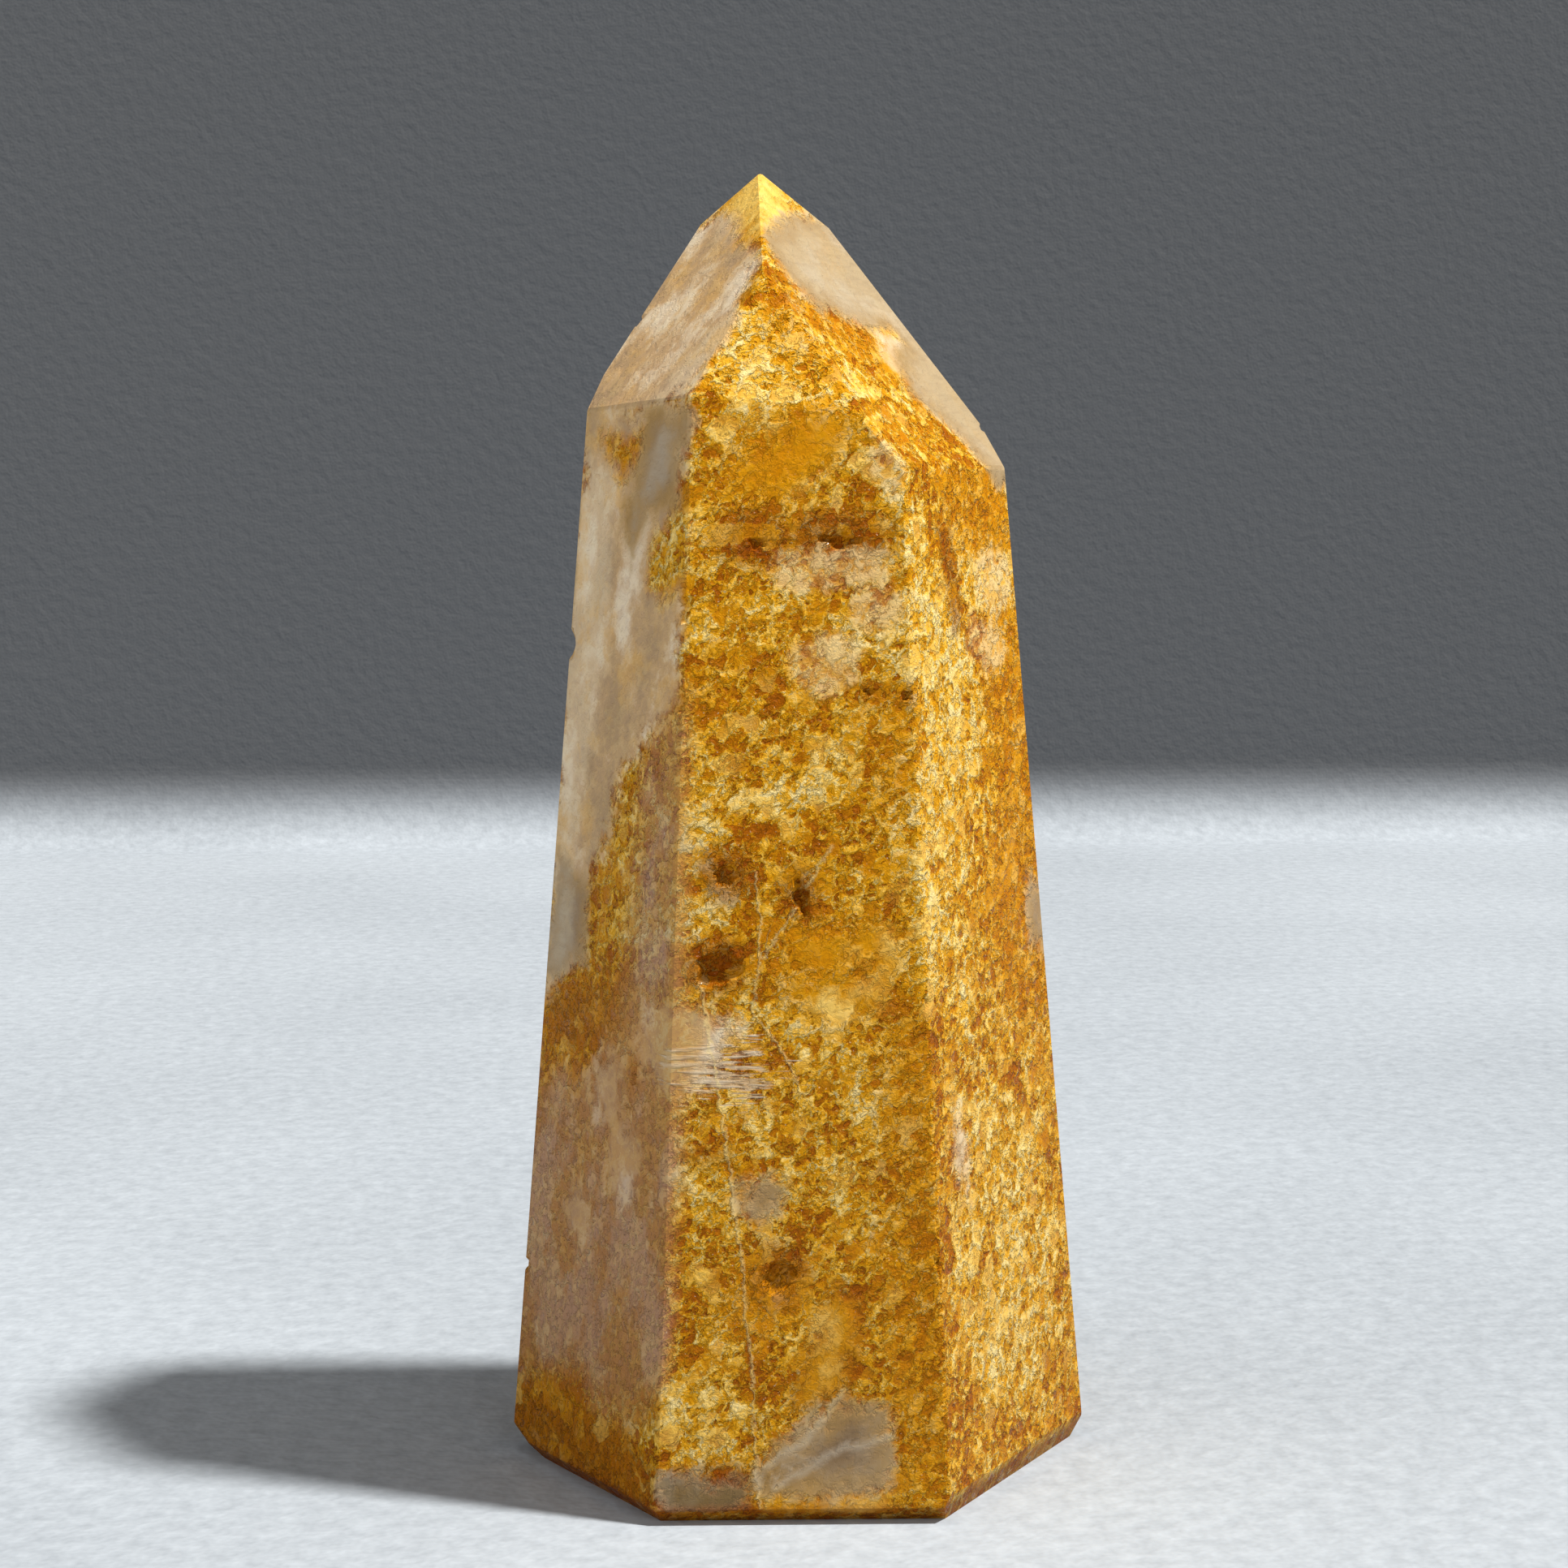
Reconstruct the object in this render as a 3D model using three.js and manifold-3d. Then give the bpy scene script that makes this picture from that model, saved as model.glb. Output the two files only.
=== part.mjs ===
// A golden healer quartz tower: one crystal, hand cut and polished to six leaning sides and a six-facet
// point, standing on its flat base. Millimetres, +Z up, the origin in the middle of the base.

import * as THREE from 'three';
import { ConvexGeometry } from 'three/addons/geometries/ConvexGeometry.js';
import { mergeVertices } from 'three/addons/utils/BufferGeometryUtils.js';
import Module from 'manifold-3d';

// A facet is a flat cut. It looks along facing, in degrees round from +X, leans back by lean degrees
// from upright, and lies reach away from the middle of the base, measured square to the cut.

// The six sides of the column. The bevel under each side starts bevelUp above the base and ends
// bevelIn inside the side's foot.
const SIDES = {
  front: { facing: -92, lean: 4.2, reach: 15.9, bevelUp: 1.0, bevelIn: 1.1 },
  frontLeft: { facing: -150, lean: 3.9, reach: 16.0, bevelUp: 1.0, bevelIn: 0.9 },
  frontRight: { facing: -32.5, lean: 4.3, reach: 15.4, bevelUp: 1.6, bevelIn: 0.75 },
  backLeft: { facing: 151, lean: 4.0, reach: 15.7, bevelUp: 1.3, bevelIn: 1.1 },
  backRight: { facing: 30.5, lean: 4.5, reach: 15.9, bevelUp: 1.3, bevelIn: 0.9 },
  back: { facing: 90, lean: 4.2, reach: 15.8, bevelUp: 1.0, bevelIn: 1.0 },
};

// The point. Three broad facets meet at the tip, and three narrow ones cut away the ridges between
// them a little lower down.
const POINT = {
  broadLeft: { facing: -152.5, lean: 36.8, reach: 48.6 },
  broadRight: { facing: -31.5, lean: 37.8, reach: 46.5 },
  broadBack: { facing: 92.5, lean: 35.2, reach: 48.2 },
  narrowFront: { facing: -89.5, lean: 23.5, reach: 36.3 },
  narrowLeft: { facing: 153, lean: 22.6, reach: 36.25 },
  narrowRight: { facing: 34.7, lean: 25.8, reach: 37.55 },
};

// The undercut heel that takes off the column's lower left corner.
const HEEL = { facing: 180, lean: -49.5, reach: 10.45 };

// Every ridge between two facets is broken by a narrow polished flat.
const RIDGE_FLAT = 0.28;

// Nicks along the ridges: the two facets that share the ridge, the height above the base, then the
// length along the ridge, the width across it and the depth.
const NICKS = [
  { ridge: ['broadLeft', 'narrowLeft'], height: 70.8, long: 1.3, wide: 1.1, deep: 0.42 },
  { ridge: ['frontLeft', 'backLeft'], height: 51.0, long: 2.0, wide: 1.3, deep: 0.45 },
  { ridge: ['front', 'frontLeft'], height: 53.8, long: 1.6, wide: 1.0, deep: 0.32 },
  { ridge: ['front', 'frontLeft'], height: 48.5, long: 1.1, wide: 0.8, deep: 0.26 },
  { ridge: ['broadRight', 'backRight'], height: 64.2, long: 0.9, wide: 0.8, deep: 0.3 },
  { ridge: ['front', 'frontRight'], height: 30.8, long: 1.4, wide: 0.9, deep: 0.28 },
  { ridge: ['front', 'frontRight'], height: 15.4, long: 1.2, wide: 0.8, deep: 0.26 },
  { ridge: ['frontLeft', 'backLeft'], height: 12.0, long: 1.2, wide: 0.9, deep: 0.3 },
  { ridge: ['back', 'backRight'], height: 37.5, long: 1.5, wide: 1.0, deep: 0.32 },
  { ridge: ['back', 'backLeft'], height: 21.0, long: 1.2, wide: 0.9, deep: 0.28 },
];

// Hollows open to the polished faces: the face, the height above the base, the distance aside from
// the face's own centre line, rightwards seen from outside, then the width, height and depth, and
// the turn in degrees.
const HOLLOWS = [
  { face: 'front', height: 57.6, aside: -2.7, wide: 1.3, tall: 0.9, deep: 0.8, turn: 10 },
  { face: 'front', height: 57.7, aside: 2.1, wide: 2.7, tall: 1.2, deep: 1.1, turn: -4 },
  { face: 'front', height: 38.3, aside: -4.6, wide: 1.5, tall: 1.3, deep: 0.9, turn: 35 },
  { face: 'front', height: 37.0, aside: -0.3, wide: 0.8, tall: 1.8, deep: 0.8, turn: 12 },
  { face: 'front', height: 32.9, aside: -5.1, wide: 2.3, tall: 1.7, deep: 1.1, turn: 20 },
  { face: 'front', height: 14.7, aside: -1.6, wide: 1.5, tall: 2.0, deep: 0.9, turn: -35 },
  { face: 'front', height: 48.7, aside: 6.0, wide: 0.8, tall: 0.7, deep: 0.5, turn: 0 },
  { face: 'front', height: 48.9, aside: 3.8, wide: 0.8, tall: 0.6, deep: 0.5, turn: 0 },
  { face: 'frontLeft', height: 25.9, aside: 3.7, wide: 0.5, tall: 1.6, deep: 0.5, turn: -8 },
  { face: 'backRight', height: 44.0, aside: 2.0, wide: 2.2, tall: 1.4, deep: 0.9, turn: 25 },
  { face: 'back', height: 30.0, aside: -3.0, wide: 1.8, tall: 2.4, deep: 1.0, turn: 15 },
  { face: 'backLeft', height: 18.0, aside: 1.5, wide: 1.5, tall: 1.1, deep: 0.8, turn: -20 },
];

// How unevenly a nick or a hollow bulges, as a share of its size, and how fast the bulges follow
// one another round it.
const BULGE = 0.24;
const BULGE_RATE = 4.3;

const INSIDE = 1e-6;
const WELD = 1e-4;
const UP = new THREE.Vector3(0, 0, 1);

const wasm = await Module();
wasm.setup();

// The outward normal of a cut that faces a compass direction and leans back from upright.
function outward(facing, lean) {
  const round = THREE.MathUtils.degToRad(facing);
  const back = THREE.MathUtils.degToRad(lean);
  const level = Math.cos(back);
  return new THREE.Vector3(level * Math.cos(round), level * Math.sin(round), Math.sin(back));
}

// A cut as a plane whose normal looks out of the stone.
function cutOf({ facing, lean, reach }) {
  return new THREE.Plane(outward(facing, lean), -reach);
}

// The bevel under a side: it passes through the side at bevelUp and meets the base bevelIn inside
// the side's foot.
function bevelOf({ facing, lean, reach, bevelUp, bevelIn }) {
  const back = THREE.MathUtils.degToRad(lean);
  const foot = reach / Math.cos(back);
  const ledge = foot - bevelUp * Math.tan(back);
  const under = -Math.atan2(ledge - foot + bevelIn, bevelUp);
  const normal = outward(facing, THREE.MathUtils.radToDeg(under));
  return new THREE.Plane(normal, -(foot - bevelIn) * Math.cos(under));
}

// The point that three planes share, or null where two of them are parallel.
function meet(a, b, c) {
  const bc = new THREE.Vector3().crossVectors(b.normal, c.normal);
  const ca = new THREE.Vector3().crossVectors(c.normal, a.normal);
  const ab = new THREE.Vector3().crossVectors(a.normal, b.normal);
  const share = a.normal.dot(bc);
  if (Math.abs(share) < INSIDE) return null;
  const point = bc.multiplyScalar(-a.constant);
  point.addScaledVector(ca, -b.constant).addScaledVector(ab, -c.constant);
  return point.divideScalar(share);
}

// Every corner of the stone that the cuts enclose, with the three cuts that make it.
function cornersOf(cuts) {
  const corners = [];
  for (let i = 0; i < cuts.length; i += 1) {
    for (let j = i + 1; j < cuts.length; j += 1) {
      for (let k = j + 1; k < cuts.length; k += 1) {
        const point = meet(cuts[i], cuts[j], cuts[k]);
        if (point && cuts.every((cut) => cut.distanceToPoint(point) < INSIDE)) {
          corners.push({ point, cuts: [i, j, k] });
        }
      }
    }
  }
  return corners;
}

// The flat that breaks the ridge between two cuts. It is square to the ridge's bisector, and sunk
// below the ridge line by half its width times the tangent of half the turn between the cuts.
function ridgeFlat(a, b, onRidge) {
  const normal = a.normal.clone().add(b.normal).normalize();
  const sunk = (RIDGE_FLAT / 2) * Math.tan(a.normal.angleTo(b.normal) / 2);
  return new THREE.Plane(normal, -(normal.dot(onRidge) - sunk));
}

// One flat for each pair of the first count cuts that meet along a ridge, found as the pairs that
// share two corners.
function ridgeFlats(cuts, count) {
  const seen = new Map();
  const flats = [];
  for (const { point, cuts: [i, j, k] } of cornersOf(cuts)) {
    for (const [a, b] of [[i, j], [i, k], [j, k]]) {
      const key = `${a}-${b}`;
      if (b < count && seen.has(key)) flats.push(ridgeFlat(cuts[a], cuts[b], point));
      seen.set(key, true);
    }
  }
  return flats;
}

// A closed three.js geometry as a manifold solid, its shared corners welded.
function solidOf(geometry) {
  const bare = geometry.clone();
  bare.deleteAttribute('normal');
  bare.deleteAttribute('uv');
  const welded = mergeVertices(bare, WELD);
  const vertProperties = Float32Array.from(welded.attributes.position.array);
  const triVerts = Uint32Array.from(welded.index.array);
  return new wasm.Manifold(new wasm.Mesh({ numProp: 3, vertProperties, triVerts }));
}

// An uneven pebble with the given half sizes, whose first axis lies along across and third axis
// along out. Its bulge follows three sines of its own direction, shifted by its number.
function pebble(half, across, out, centre, number) {
  const shape = new THREE.IcosahedronGeometry(1, 1);
  const at = shape.attributes.position;
  const corner = new THREE.Vector3();
  for (let i = 0; i < at.count; i += 1) {
    corner.fromBufferAttribute(at, i).normalize();
    const rise = Math.sin(BULGE_RATE * corner.x + number);
    const roll = Math.sin(BULGE_RATE * corner.y + 2 * number);
    const sway = Math.sin(BULGE_RATE * corner.z - number);
    corner.multiplyScalar(1 + BULGE * (rise * roll + sway) / 2);
    at.setXYZ(i, corner.x, corner.y, corner.z);
  }
  const third = out.clone().normalize();
  const second = new THREE.Vector3().crossVectors(third, across).normalize();
  const first = new THREE.Vector3().crossVectors(second, third);
  const place = new THREE.Matrix4().makeBasis(first, second, third);
  shape.applyMatrix4(place.scale(half).setPosition(centre));
  return shape;
}

// The pebble that a nick takes out of the ridge between two cuts.
function nickShape({ ridge, height, long, wide, deep }, cut, number) {
  const [a, b] = ridge.map((name) => cut[name]);
  const level = new THREE.Plane(UP, -height);
  const along = new THREE.Vector3().crossVectors(a.normal, b.normal).normalize();
  const out = a.normal.clone().add(b.normal);
  const half = new THREE.Vector3(long / 2, wide / 2, deep);
  return pebble(half, along, out, meet(a, b, level), number);
}

// The pebble that a hollow takes out of a side.
function hollowShape({ face, height, aside, wide, tall, deep, turn }, cut, number) {
  const side = cut[face];
  const across = new THREE.Vector3().crossVectors(UP, side.normal).normalize();
  const middle = new THREE.Plane(across, -aside);
  const level = new THREE.Plane(UP, -height);
  const tilted = across.clone().applyAxisAngle(side.normal, THREE.MathUtils.degToRad(turn));
  const half = new THREE.Vector3(wide / 2, tall / 2, deep);
  return pebble(half, tilted, side.normal, meet(side, middle, level), number);
}

const facets = { ...SIDES, ...POINT, heel: HEEL };
const cut = Object.fromEntries(Object.entries(facets).map(([name, facet]) => [name, cutOf(facet)]));
const faces = Object.values(cut);
const base = new THREE.Plane(UP.clone().negate(), 0);
const rough = [...faces, ...Object.values(SIDES).map(bevelOf), base];
const cuts = [...rough, ...ridgeFlats(rough, faces.length)];
const corners = cornersOf(cuts).map(({ point }) => point);

let stone = solidOf(new ConvexGeometry(corners));
const bites = [
  ...NICKS.map((nick, number) => nickShape(nick, cut, number + 1)),
  ...HOLLOWS.map((hollow, number) => hollowShape(hollow, cut, number + 1)),
];
for (const bite of bites) stone = stone.subtract(solidOf(bite));

const { vertProperties, triVerts } = stone.getMesh();
const geometry = new THREE.BufferGeometry();
geometry.setAttribute('position', new THREE.BufferAttribute(vertProperties, 3));
geometry.setIndex(new THREE.BufferAttribute(triVerts, 1));
geometry.computeVertexNormals();
geometry.computeBoundingBox();

const polish = new THREE.MeshStandardMaterial({
  color: 0xc9942f,
  roughness: 0.16,
  metalness: 0,
  flatShading: true,
});
const tower = new THREE.Mesh(geometry, polish);
tower.name = 'quartz_tower';
const middle = geometry.boundingBox.getCenter(new THREE.Vector3());
tower.position.set(-middle.x, -middle.y, 0);

const group = new THREE.Group();
group.add(tower);

export default group;
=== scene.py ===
"""A golden healer quartz tower standing on a pale floor.

The stone is the space inside a set of flat cuts, so its skin is worked out from the cuts themselves:
each facet is a grid between its two ridges, the nicks and hollows are pressed into the grids, and
fields at the grid's points say where the stone is clear, milky, amber or brown. The stone's sizes
are millimetres until its mesh is made, and the studio's are metres.
"""

import itertools
import logging
import math
from collections.abc import Iterator, Mapping, Sequence
from dataclasses import dataclass, field, fields
from enum import Enum
from typing import Any, Union

import bmesh
import bpy
import numpy as np
from mathutils import Matrix, Vector


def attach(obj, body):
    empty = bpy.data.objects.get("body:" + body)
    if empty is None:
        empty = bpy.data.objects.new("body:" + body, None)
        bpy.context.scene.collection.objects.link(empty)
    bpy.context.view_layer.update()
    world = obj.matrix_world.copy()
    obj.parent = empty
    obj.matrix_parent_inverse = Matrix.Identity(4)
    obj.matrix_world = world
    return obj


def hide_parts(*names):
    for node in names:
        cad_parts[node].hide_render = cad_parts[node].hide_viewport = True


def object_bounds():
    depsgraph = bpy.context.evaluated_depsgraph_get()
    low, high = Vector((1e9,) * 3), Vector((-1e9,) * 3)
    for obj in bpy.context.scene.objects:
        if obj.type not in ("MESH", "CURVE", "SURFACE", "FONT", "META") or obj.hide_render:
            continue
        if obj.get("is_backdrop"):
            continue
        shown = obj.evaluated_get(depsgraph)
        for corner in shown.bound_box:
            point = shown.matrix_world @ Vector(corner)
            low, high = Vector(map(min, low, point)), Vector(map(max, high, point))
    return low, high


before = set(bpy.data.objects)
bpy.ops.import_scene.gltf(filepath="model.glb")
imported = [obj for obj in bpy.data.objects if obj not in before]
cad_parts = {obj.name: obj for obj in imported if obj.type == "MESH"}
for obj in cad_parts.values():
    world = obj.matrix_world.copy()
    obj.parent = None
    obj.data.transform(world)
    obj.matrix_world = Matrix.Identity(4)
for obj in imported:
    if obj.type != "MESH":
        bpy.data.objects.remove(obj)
CAD_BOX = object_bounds()

MM = 0.001
UP = np.array([0.0, 0.0, 1.0])
# A point no further outside a cut than this, in millimetres, counts as inside it.
INSIDE = 1e-6
# Points this near each other, or to a cut, touch. In millimetres.
TOUCH = 2e-5
# Points of the mesh this near each other are welded. In metres.
WELD = 4e-7
# A slope or a length below this counts as nothing.
NOTHING = 1e-9
# A look's depth is written to the mesh no further than this from its edge, in millimetres.
FAR = 4.0

log = logging.getLogger("tower")


class Face(Enum):
    """The cut faces of the stone, named by where they look."""

    FRONT = "front"
    FRONT_LEFT = "front left"
    FRONT_RIGHT = "front right"
    BACK_LEFT = "back left"
    BACK_RIGHT = "back right"
    BACK = "back"
    BROAD_LEFT = "broad left"
    BROAD_RIGHT = "broad right"
    BROAD_BACK = "broad back"
    NARROW_FRONT = "narrow front"
    NARROW_LEFT = "narrow left"
    NARROW_RIGHT = "narrow right"
    HEEL = "heel"


class Look(Enum):
    """What the quartz holds under its polish. Each value names the mesh's field for it."""

    CLEAR = "clear"
    MILK = "milk"
    # The veil is partly a real milky haze, partly painted shade of the stone's shaded side.
    VEIL = "veil"
    GOLD = "gold"
    AMBER = "amber"
    BROWN = "brown"
    PALE = "pale"
    FIBRES = "fibres"
    GLOW = "glow"
    # The snow look is white crumb, and in one place a painted glint.
    SNOW = "snow"


def outward(facing: float, lean: float) -> np.ndarray:
    """Gives the way a cut looks: turned by facing about the height, then tipped up by lean.

    Args:
        facing: The compass direction in degrees round from +X.
        lean: The tip back from upright in degrees.

    Returns:
        The unit normal (cos lean cos facing, cos lean sin facing, sin lean).
    """
    turn = math.radians(facing)
    back = math.radians(lean)
    return np.array([math.cos(back) * math.cos(turn), math.cos(back) * math.sin(turn), math.sin(back)])


@dataclass(frozen=True)
class Cut:
    """A flat cut: every point p of the stone keeps normal . p within reach.

    Its grid has columns squares in a row.
    """

    normal: np.ndarray
    reach: float
    columns: int

    @property
    def across(self) -> np.ndarray:
        """The level direction in the cut, rightwards seen from outside."""
        level = np.cross(UP, self.normal)
        return level / np.linalg.norm(level)

    @property
    def upslope(self) -> np.ndarray:
        """The steepest way up the cut."""
        return np.cross(self.normal, self.across)

    def along_slope(self, height: float) -> float:
        """Gives the distance up the slope at which the cut reaches a height."""
        return (height - self.reach * self.normal[2]) / self.upslope[2]

    def place(self, aside: float, height: float) -> np.ndarray:
        """Gives the point of the cut that lies aside from its centre line, at a height."""
        return self.reach * self.normal + aside * self.across + self.along_slope(height) * self.upslope


@dataclass(frozen=True)
class Facet:
    """A cut's driving sizes: where it looks, how far it leans, and its reach from the base's middle."""

    facing: float
    lean: float
    reach: float
    columns: int = 30

    def cut(self) -> Cut:
        """Makes the facet's plane."""
        return Cut(outward(self.facing, self.lean), self.reach, self.columns)


@dataclass(frozen=True)
class Side(Facet):
    """A side of the column, with the height and depth of the bevel under it."""

    bevel_up: float = 1.0
    bevel_in: float = 1.0

    def bevel(self) -> Cut:
        """Makes the plane that meets the side at bevel_up and the base bevel_in inside its foot.

        Returns:
            The bevel's plane.
        """
        back = math.radians(self.lean)
        foot = self.reach / math.cos(back)
        ledge = foot - self.bevel_up * math.tan(back)
        under = -math.atan2(ledge - foot + self.bevel_in, self.bevel_up)
        normal = outward(self.facing, math.degrees(under))
        return Cut(normal, (foot - self.bevel_in) * math.cos(under), self.columns)


@dataclass(frozen=True)
class Nick:
    """A chip out of the ridge between two faces: its height on the ridge and its three sizes."""

    ridge: tuple[Face, Face]
    height: float
    long: float
    wide: float
    deep: float


@dataclass(frozen=True)
class Hollow:
    """A hollow open to a face: its centre there, its sizes and its turn in degrees."""

    face: Face
    height: float
    aside: float
    wide: float
    tall: float
    deep: float
    turn: float


@dataclass(frozen=True)
class Pane:
    """A patch of one look under a face, with straight edges: corners (aside, height) in order."""

    look: Look
    corners: tuple[tuple[float, float], ...]

    def depths(self, cut: Cut, points: np.ndarray) -> np.ndarray:
        """Works out how far inside the patch each point lies.

        The depth inside a polygon is the distance to its nearest edge, counted below zero outside,
        and what lies under the face loses twice its depth below the face.

        Args:
            cut: The cut the patch lies under.
            points: The points, one a row.

        Returns:
            The depth inside the patch of each point, in millimetres.
        """
        outline = np.array([(aside, cut.along_slope(height)) for aside, height in self.corners])
        flat = np.stack([points @ cut.across, points @ cut.upslope], axis=1)
        start = outline[None]
        edge = np.roll(outline, -1, axis=0)[None] - start
        to_point = flat[:, None] - start
        share = np.clip((to_point * edge).sum(2) / (edge * edge).sum(2), 0, 1)
        gap = np.linalg.norm(to_point - share[..., None] * edge, axis=2).min(axis=1)
        above = start[..., 1] > flat[:, None, 1]
        crosses = above != np.roll(above, -1, axis=1)
        slope = np.where(edge[..., 1] == 0, 1, edge[..., 1])
        left = to_point[..., 0] < edge[..., 0] * to_point[..., 1] / slope
        inside = (crosses & left).sum(1) % 2 == 1
        return np.where(inside, gap, -gap) - 2 * np.maximum(cut.reach - points @ cut.normal, 0)


@dataclass(frozen=True)
class Blot:
    """A rounded patch of one look under a face: its centre, full sizes and turn in degrees."""

    look: Look
    aside: float
    height: float
    wide: float
    tall: float
    turn: float = 0.0

    def depths(self, cut: Cut, points: np.ndarray) -> np.ndarray:
        """Works out how far inside the blot each point lies.

        With the point's place measured in the blot's half sizes, the depth inside is one less the
        length of that place, times the smaller half size.

        Args:
            cut: The cut the blot lies under.
            points: The points, one a row.

        Returns:
            The depth inside the blot of each point, in millimetres.
        """
        turn = math.radians(self.turn)
        first = math.cos(turn) * cut.across + math.sin(turn) * cut.upslope
        second = math.cos(turn) * cut.upslope - math.sin(turn) * cut.across
        offset = points - cut.place(self.aside, self.height)
        half = min(self.wide, self.tall) / 2
        flat = [offset @ first / (self.wide / 2), offset @ second / (self.tall / 2)]
        length = np.linalg.norm(np.stack([*flat, offset @ cut.normal / half]), axis=0)
        return (1 - length) * half


Patch = Union[Pane, Blot]


@dataclass(frozen=True)
class Patches:
    """The patches of each look, in a field for each face that they lie under."""

    # Windows at the foot and the middle, brown hollows, amber edges, snow and one fibrous patch.
    front: tuple[Patch, ...] = (
        Pane(
            Look.CLEAR,
            ((-3.7, 20.3), (-2.2, 20.5), (-1.4, 19.7), (-1.9, 18.7), (-3, 18.1), (-3.8, 18.8)),
        ),
        Pane(
            Look.CLEAR,
            ((-0.4, 5.8), (2.3, 7.7), (4.6, 6.7), (5.1, 4.3), (5, 2.2), (1, 1.6), (-3, 2.4), (-2.1, 3.9)),
        ),
        Pane(
            Look.CLEAR,
            (
                (-8.6, 3.1), (-7.4, 2.5), (-6.6, 3.3), (-5.7, 2.3),
                (-4.5, 3.2), (-3.7, 2.3), (-3.5, 0.9), (-8.6, 0.9),
            ),
        ),
        Blot(Look.MILK, -7, 28.6, 5, 3.4),
        Pane(
            Look.GLOW,
            ((1.8, 13.9), (3.2, 13.4), (3.1, 10.5), (2, 7.7), (-0.4, 7.2), (-0.1, 9.6), (0.8, 11.5)),
        ),
        Pane(Look.GLOW, ((-3.8, 62), (-0.5, 64.6), (2.4, 64.6), (1.4, 62.3), (-1.3, 60), (-3.6, 60.6))),
        Pane(Look.GLOW, ((-1, 34.6), (4.6, 35.2), (5, 33.6), (0.5, 32.8))),
        Pane(Look.GLOW, ((-0.5, 31.6), (4.6, 32), (5, 30.6), (1.6, 29.9))),
        Pane(Look.GLOW, ((-3, 0), (5.2, 0), (5, 2), (-2.6, 1.6))),
        Pane(Look.AMBER, ((-4.8, 62.7), (-0.5, 65.3), (3, 65.3), (1.8, 62.7), (-1.5, 59), (-4.3, 60.4))),
        Pane(
            Look.AMBER,
            ((5.6, 31.1), (7.3, 30.6), (8.2, 18.2), (8.7, 2.8), (5.6, 1.4), (5.1, 8.6), (4.4, 27.7)),
        ),
        Pane(Look.AMBER, ((-1.5, 35.4), (5.1, 35.8), (5.6, 30.6), (2.3, 29.2), (-2.5, 31.6))),
        Blot(Look.AMBER, 5.1, 45.3, 2.4, 5.2),
        Blot(Look.AMBER, -6.2, 48.6, 2.8, 2.8),
        Blot(Look.AMBER, -2.7, 13.5, 5.2, 4.3),
        Pane(
            Look.BROWN,
            ((1.8, 14.4), (3.4, 13.9), (3.3, 10), (2.2, 7.2), (-0.8, 6.8), (-0.4, 9.6), (0.6, 11.5)),
        ),
        Pane(Look.BROWN, ((-8.6, 3.4), (-6.8, 3.4), (-5.4, 3.9), (-3.2, 3.4), (-3.1, 0.4), (-8.6, 0.4))),
        Blot(Look.BROWN, -2.9, 57.9, 4.6, 3.4, 10),
        Blot(Look.BROWN, 2, 58.1, 5.8, 3.4, -4),
        Blot(Look.BROWN, -4.6, 38.4, 3.6, 3.3, 35),
        Blot(Look.BROWN, -0.3, 37.3, 2.3, 3.4, 12),
        Blot(Look.BROWN, -5.1, 33.2, 4.3, 3.5, 20),
        Blot(Look.BROWN, -1.5, 14.8, 3.6, 4, -35),
        Blot(Look.BROWN, -5.9, 22, 2.4, 0.9),
        Blot(Look.BROWN, 6, 48.7, 1.2, 1),
        Blot(Look.BROWN, 3.8, 48.9, 1.2, 1),
        Blot(Look.PALE, 6.1, 52.8, 3.3, 7.1),
        Blot(Look.PALE, -5.9, 41.5, 3.3, 5.2),
        Blot(Look.PALE, -6, 35.9, 3.3, 3.8),
        Blot(Look.PALE, 0.1, 29.2, 5.7, 2.9),
        Blot(Look.PALE, 3.7, 24.6, 1.9, 2.9),
        Blot(Look.PALE, 5.4, 62, 2.8, 3.3),
        Blot(Look.PALE, -6.3, 5.8, 5.2, 5.8),
        Blot(Look.PALE, -2.9, 42.9, 7.6, 2.8),
        Blot(Look.SNOW, 1.2, 50.6, 3.8, 3.4),
        Pane(Look.SNOW, ((-1.7, 57.1), (3.3, 57.3), (5.6, 56.1), (3.2, 54.8), (-0.3, 54.8), (-2.2, 55.9))),
        Pane(Look.SNOW, ((4.2, 63.9), (6.6, 63.4), (6.8, 61.3), (5.1, 60.4), (3.7, 61.8))),
        Blot(Look.SNOW, 4.4, 54, 3.2, 2.8),
        Blot(Look.FIBRES, -4.6, 26.8, 5.6, 3, -8),
    )
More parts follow.
